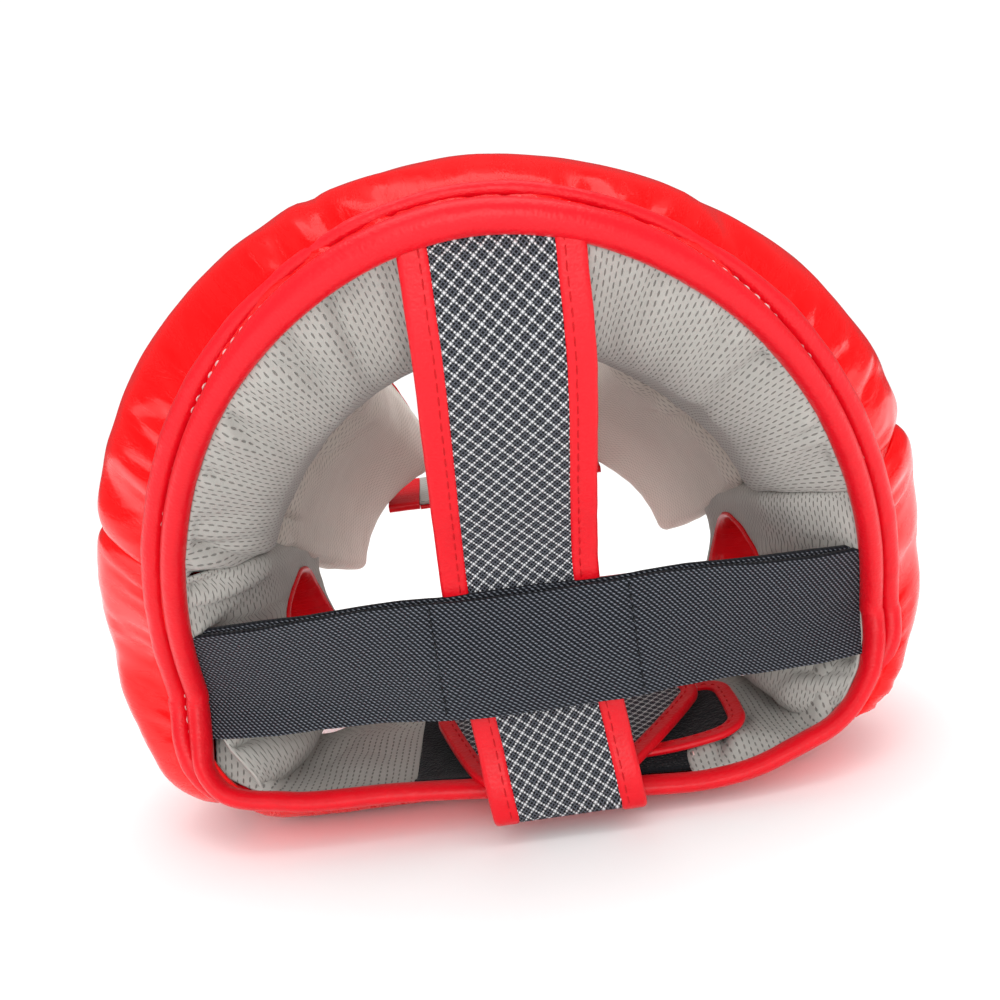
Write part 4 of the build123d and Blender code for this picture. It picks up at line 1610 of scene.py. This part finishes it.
@dataclass
class StrapTail:
    """The strap's spread tail with its hook flap, folded back over the rear panel."""

    maker: MeshMaker
    wardrobe: Wardrobe
    tail_plane: SlopedPlane = SlopedPlane(44.0, 15.2, 7.5)
    flap_plane: SlopedPlane = SlopedPlane(44.0, 13.4, 3.0, 0.0036)
    tail_corners: tuple[tuple[float, float], ...] = (
        (-23.0, 1.0), (23.0, 1.0), (57.0, 50.0), (48.0, 66.0), (-28.0, 66.0), (-38.0, 52.0))
    flap_corners: tuple[tuple[float, float], ...] = (
        (12.0, 14.0), (65.0, 16.0), (67.0, 61.0), (12.0, 62.0))
    binding: float = 5.5
    corner: float = 14.0

    def rings(self, corners: Sequence[tuple[float, float]], step: float, *insets: float
              ) -> tuple[Grid, Grid, list[Grid]]:
        """Close an outline and draw rings inside it.

        Args:
            corners: Outline corners.
            step: Point spacing.
            insets: How far inside the outline each ring runs.

        Returns:
            The outline's centre, the outline and the rings.
        """
        loop = rounded_outline(corners, self.corner, step)
        centre = loop.mean(axis=0)
        reach = np.linalg.norm(loop - centre, axis=1, keepdims=True)
        return centre, loop, [centre + (loop - centre) * (1 - inset / reach) for inset in insets]

    def panel(self, name: str, node: str, material: bpy.types.Material,
              corners: Sequence[tuple[float, float]], plane: SlopedPlane, inset: float,
              thickness: float, seed: int) -> None:
        """Fill an outline with a gently wavy cloth panel.

        Args:
            name: Piece name.
            node: CAD node it stands for.
            material: Cloth material.
            corners: Outline corners.
            plane: Plane the panel lies in.
            inset: How far the cloth stops inside the outline.
            thickness: Cloth thickness.
            seed: Chooses its waves.
        """
        centre, _, (edge,) = self.rings(corners, 1.4, inset)
        share = np.linspace(0.0, 1.0, 44)[None, :, None]
        flat = centre + (edge[:, None] - centre) * share
        height = 0.6 * wave_noise(seed, flat[..., 0] / 20.0, flat[..., 1] / 20.0)
        obj = self.maker.sheet(name, plane.at(flat, height), thickness=thickness, closed=True,
                               fabric=(flat[..., 0], flat[..., 1]))
        self.maker.weld(obj)
        place(obj, Body.TAIL, material, [node])

    def edging(self, name: str, node: str, corners: Sequence[tuple[float, float]],
               plane: SlopedPlane, thin: float) -> None:
        """Bind an outline and stitch the binding.

        Args:
            name: Piece name.
            node: CAD node it stands for.
            corners: Outline corners.
            plane: Plane the outline lies in.
            thin: Half thickness of the binding.
        """
        centre, loop, (middle, inner) = self.rings(corners, 1.3, self.binding / 2,
                                                   self.binding - 1.6)
        route = plane.at(middle)
        guide = plane.at(loop) - plane.at(np.broadcast_to(centre, loop.shape))
        section = boxed_section(self.binding / 2 + 0.2, thin, min(thin, 1.2) * 0.95)
        obj = self.maker.sweep(name, route, section, guide, closed=True)
        place(obj, Body.TAIL, self.wardrobe.tape, [node])
        for number, up in enumerate((1.0, -1.0)):
            seam = self.maker.stitches(f"{name}_seam_{number + 1}", plane.at(inner, up * thin),
                                       plane.at(np.zeros(2), up) - plane.at(np.zeros(2)),
                                       2.6, 1.5, 0.3, loop=True)
            place(seam, Body.TAIL, self.wardrobe.red_thread)

    def build(self) -> None:
        """Build tail and flap with their bindings."""
        w = self.wardrobe
        self.panel("tail_mesh", "strap_tail", w.net, self.tail_corners,
                   self.tail_plane, self.binding - 1.0, 2.0, 131)
        self.edging("tail_edge", "strap_tail_piping", self.tail_corners, self.tail_plane, 1.7)
        self.panel("flap_face", "strap_end_flap", w.hook, self.flap_corners,
                   self.flap_plane, self.binding - 1.5, 1.4, 132)
        self.edging("flap_edge", "strap_end_binding", self.flap_corners, self.flap_plane, 1.2)


@dataclass
class ChinStrap:
    """Peeling chin strap pressed on the loop patch of its anchor."""

    maker: MeshMaker
    wardrobe: Wardrobe
    y: float = 196.0
    z: float = 85.0
    tilt: float = 15.0
    width: float = 33.0

    def band(self, name: str, body: Body, material: bpy.types.Material,
             node: str | None, reach: tuple[float, float], layer: tuple[float, float],
             inset: float = 0.0, seed: int = 0) -> None:
        """Lay one band of the strap.

        Args:
            name: Piece name.
            body: Body it moves with.
            material: Its material.
            node: CAD node it stands for, or None for a piece without one.
            reach: Ends along x.
            layer: Bottom and top of the band through the strap's thickness.
            inset: Trim on both long edges.
            seed: Chooses its waves.
        """
        turn = math.radians(self.tilt)
        x = np.linspace(reach[0], reach[1], 70)
        level = sum(layer) / 2 + 0.12 * wave_noise(seed, x / 14.0)
        up = np.array([0.0, math.cos(turn), math.sin(turn)])
        out = np.array([0.0, -math.sin(turn), math.cos(turn)])
        start = np.array([0.0, self.y, self.z]) + up * self.width / 2
        route = start + np.stack([x, 0 * x, 0 * x], axis=1) + out * level[:, None]
        half = (layer[1] - layer[0]) / 2
        section = boxed_section(self.width / 2 - inset, half, half * 0.8, 1.5)
        obj = self.maker.sweep(name, route, section, up)
        place(obj, body, material, [node] if node else [])

    def build(self) -> None:
        """Build the strap, its lining, patches, anchor and the root it peels from."""
        w = self.wardrobe
        self.band("chin_strap_leather", Body.CHIN, w.lining_leather, "chin_strap",
                  (-38.0, 24.0), (0.0, 1.8), seed=141)
        self.band("chin_strap_knit", Body.CHIN, w.knit, "chin_strap_lining",
                  (-38.0, 24.0), (1.9, 3.6), 0.6, 142)
        self.band("chin_hook", Body.CHIN, w.hook, "chin_hook_patch",
                  (-10.0, 20.0), (3.75, 4.8), 2.5, 143)
        self.band("chin_loop", Body.SHELL, w.loop, "chin_loop_patch",
                  (-12.0, 22.0), (5.2, 6.2), 2.0, 144)
        self.band("chin_anchor", Body.SHELL, w.lining_leather,
                  "chin_anchor_strap", (-14.0, 44.0), (6.4, 9.6), 0.0, 145)
        self.band("chin_strap_root", Body.SHELL, w.lining_leather, None,
                  (-52.0, -38.3), (0.0, 3.6), 0.0, 146)


# ------------------------------------------------------------------ studio
@dataclass
class Studio:
    """Pale floor, soft light and the camera."""

    head: HeadFrame
    camera_at: tuple[float, float, float] = (-7.9, -247.8, 138.5)
    yaw: float = 0.66
    pitch: float = 6.9
    roll: float = 7.32
    lens: float = 36.0
    sky: float = 1.08
    sky_in_gloss: float = 0.12
    floor_reach: float = 40.0

    def camera(self) -> None:
        """Aim the camera at the crown opening, rolled a little."""
        data = bpy.data.cameras.new("camera")
        data.lens, data.sensor_width, data.clip_start = self.lens, 36.0, 0.01
        camera = link_object("camera", data)
        camera.location = (Vector(self.camera_at) + Vector((0.0, self.head.origin_y, 0.0))) * MM
        aim = Euler((math.radians(90 - self.pitch), 0.0, math.radians(-self.yaw)), "XYZ")
        spin = Euler((0.0, 0.0, math.radians(-self.roll)), "XYZ")
        camera.rotation_euler = (aim.to_matrix() @ spin.to_matrix()).to_euler()
        bpy.context.scene.camera = camera

    def panel_light(self, name: str, at: tuple[float, float, float],
                    aim: tuple[float, float, float], size: tuple[float, float], power: float
                    ) -> None:
        """Hang a soft rectangular light.

        Args:
            name: Light name.
            at: Place in metres.
            aim: Point it faces, in metres.
            size: Width and height in metres.
            power: Watts.
        """
        data = bpy.data.lights.new(name, "AREA")
        data.shape, data.size, data.size_y, data.energy = "RECTANGLE", size[0], size[1], power
        light = link_object(name, data)
        light.location = at
        light.rotation_euler = (Vector(aim) - Vector(at)).to_track_quat("-Z", "Y").to_euler()

    def floor(self) -> None:
        """Lay a wide pale floor."""
        mesh = bpy.data.meshes.new("floor")
        reach = self.floor_reach
        mesh.from_pydata([(-reach, -reach, 0), (reach, -reach, 0), (reach, reach, 0),
                          (-reach, reach, 0)], [], [(0, 1, 2, 3)])
        floor = link_object("floor", mesh)
        material = bpy.data.materials.new("studio_floor_paint")
        material.use_nodes = True
        shader = material.node_tree.nodes["Principled BSDF"]
        shader.inputs["Base Color"].default_value = linear("#FBFBFB")
        shader.inputs["Roughness"].default_value = 0.9
        shader.inputs["Specular IOR Level"].default_value = 0.0
        mesh.materials.append(material)

    def build(self) -> None:
        """Set up the floor, light and camera."""
        world = bpy.data.worlds.new("studio_world")
        world.use_nodes = True
        tree = world.node_tree
        sky = tree.nodes["Background"]
        glossy = add_node(tree, "LightPath", out="Is Glossy Ray")
        tone = add_node(tree, "Mix", {0: glossy, 2: self.sky, 3: self.sky_in_gloss})
        tree.links.new(tone, sky.inputs["Strength"])
        sky.inputs["Color"].default_value = (1.0, 1.0, 1.0, 1.0)
        bpy.context.scene.world = world
        bpy.context.scene.view_settings.view_transform = "Standard"
        self.floor()
        self.panel_light("top_softbox", (0.0, -0.1, 1.1), (0.0, 0.0, 0.1), (1.2, 0.8), 5.0)
        self.panel_light("front_softbox", (-0.5, -1.1, 0.7), (0.0, 0.0, 0.1), (0.7, 0.7), 1.6)
        self.panel_light("axis_softbox", (0.05, -0.95, 0.3), (0.0, 0.0, 0.09), (0.5, 0.4), 2.4)
        self.camera()


def main() -> None:
    """Build the headgear piece by piece, then the studio."""
    logging.basicConfig(level=logging.INFO, format="%(message)s")
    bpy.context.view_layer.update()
    head = HeadFrame.from_nodes()
    maker = MeshMaker(head)
    wardrobe = Wardrobe()
    PaddedShell(maker, wardrobe).build()
    RimTrim(maker, wardrobe).build()
    RearPanel(maker, wardrobe).build()
    ElasticBand(maker, wardrobe).build()
    CrownStrap(maker, wardrobe).build()
    StrapTail(maker, wardrobe).build()
    ChinStrap(maker, wardrobe).build()
    Studio(head).build()


if __name__ == "__main__":
    main()
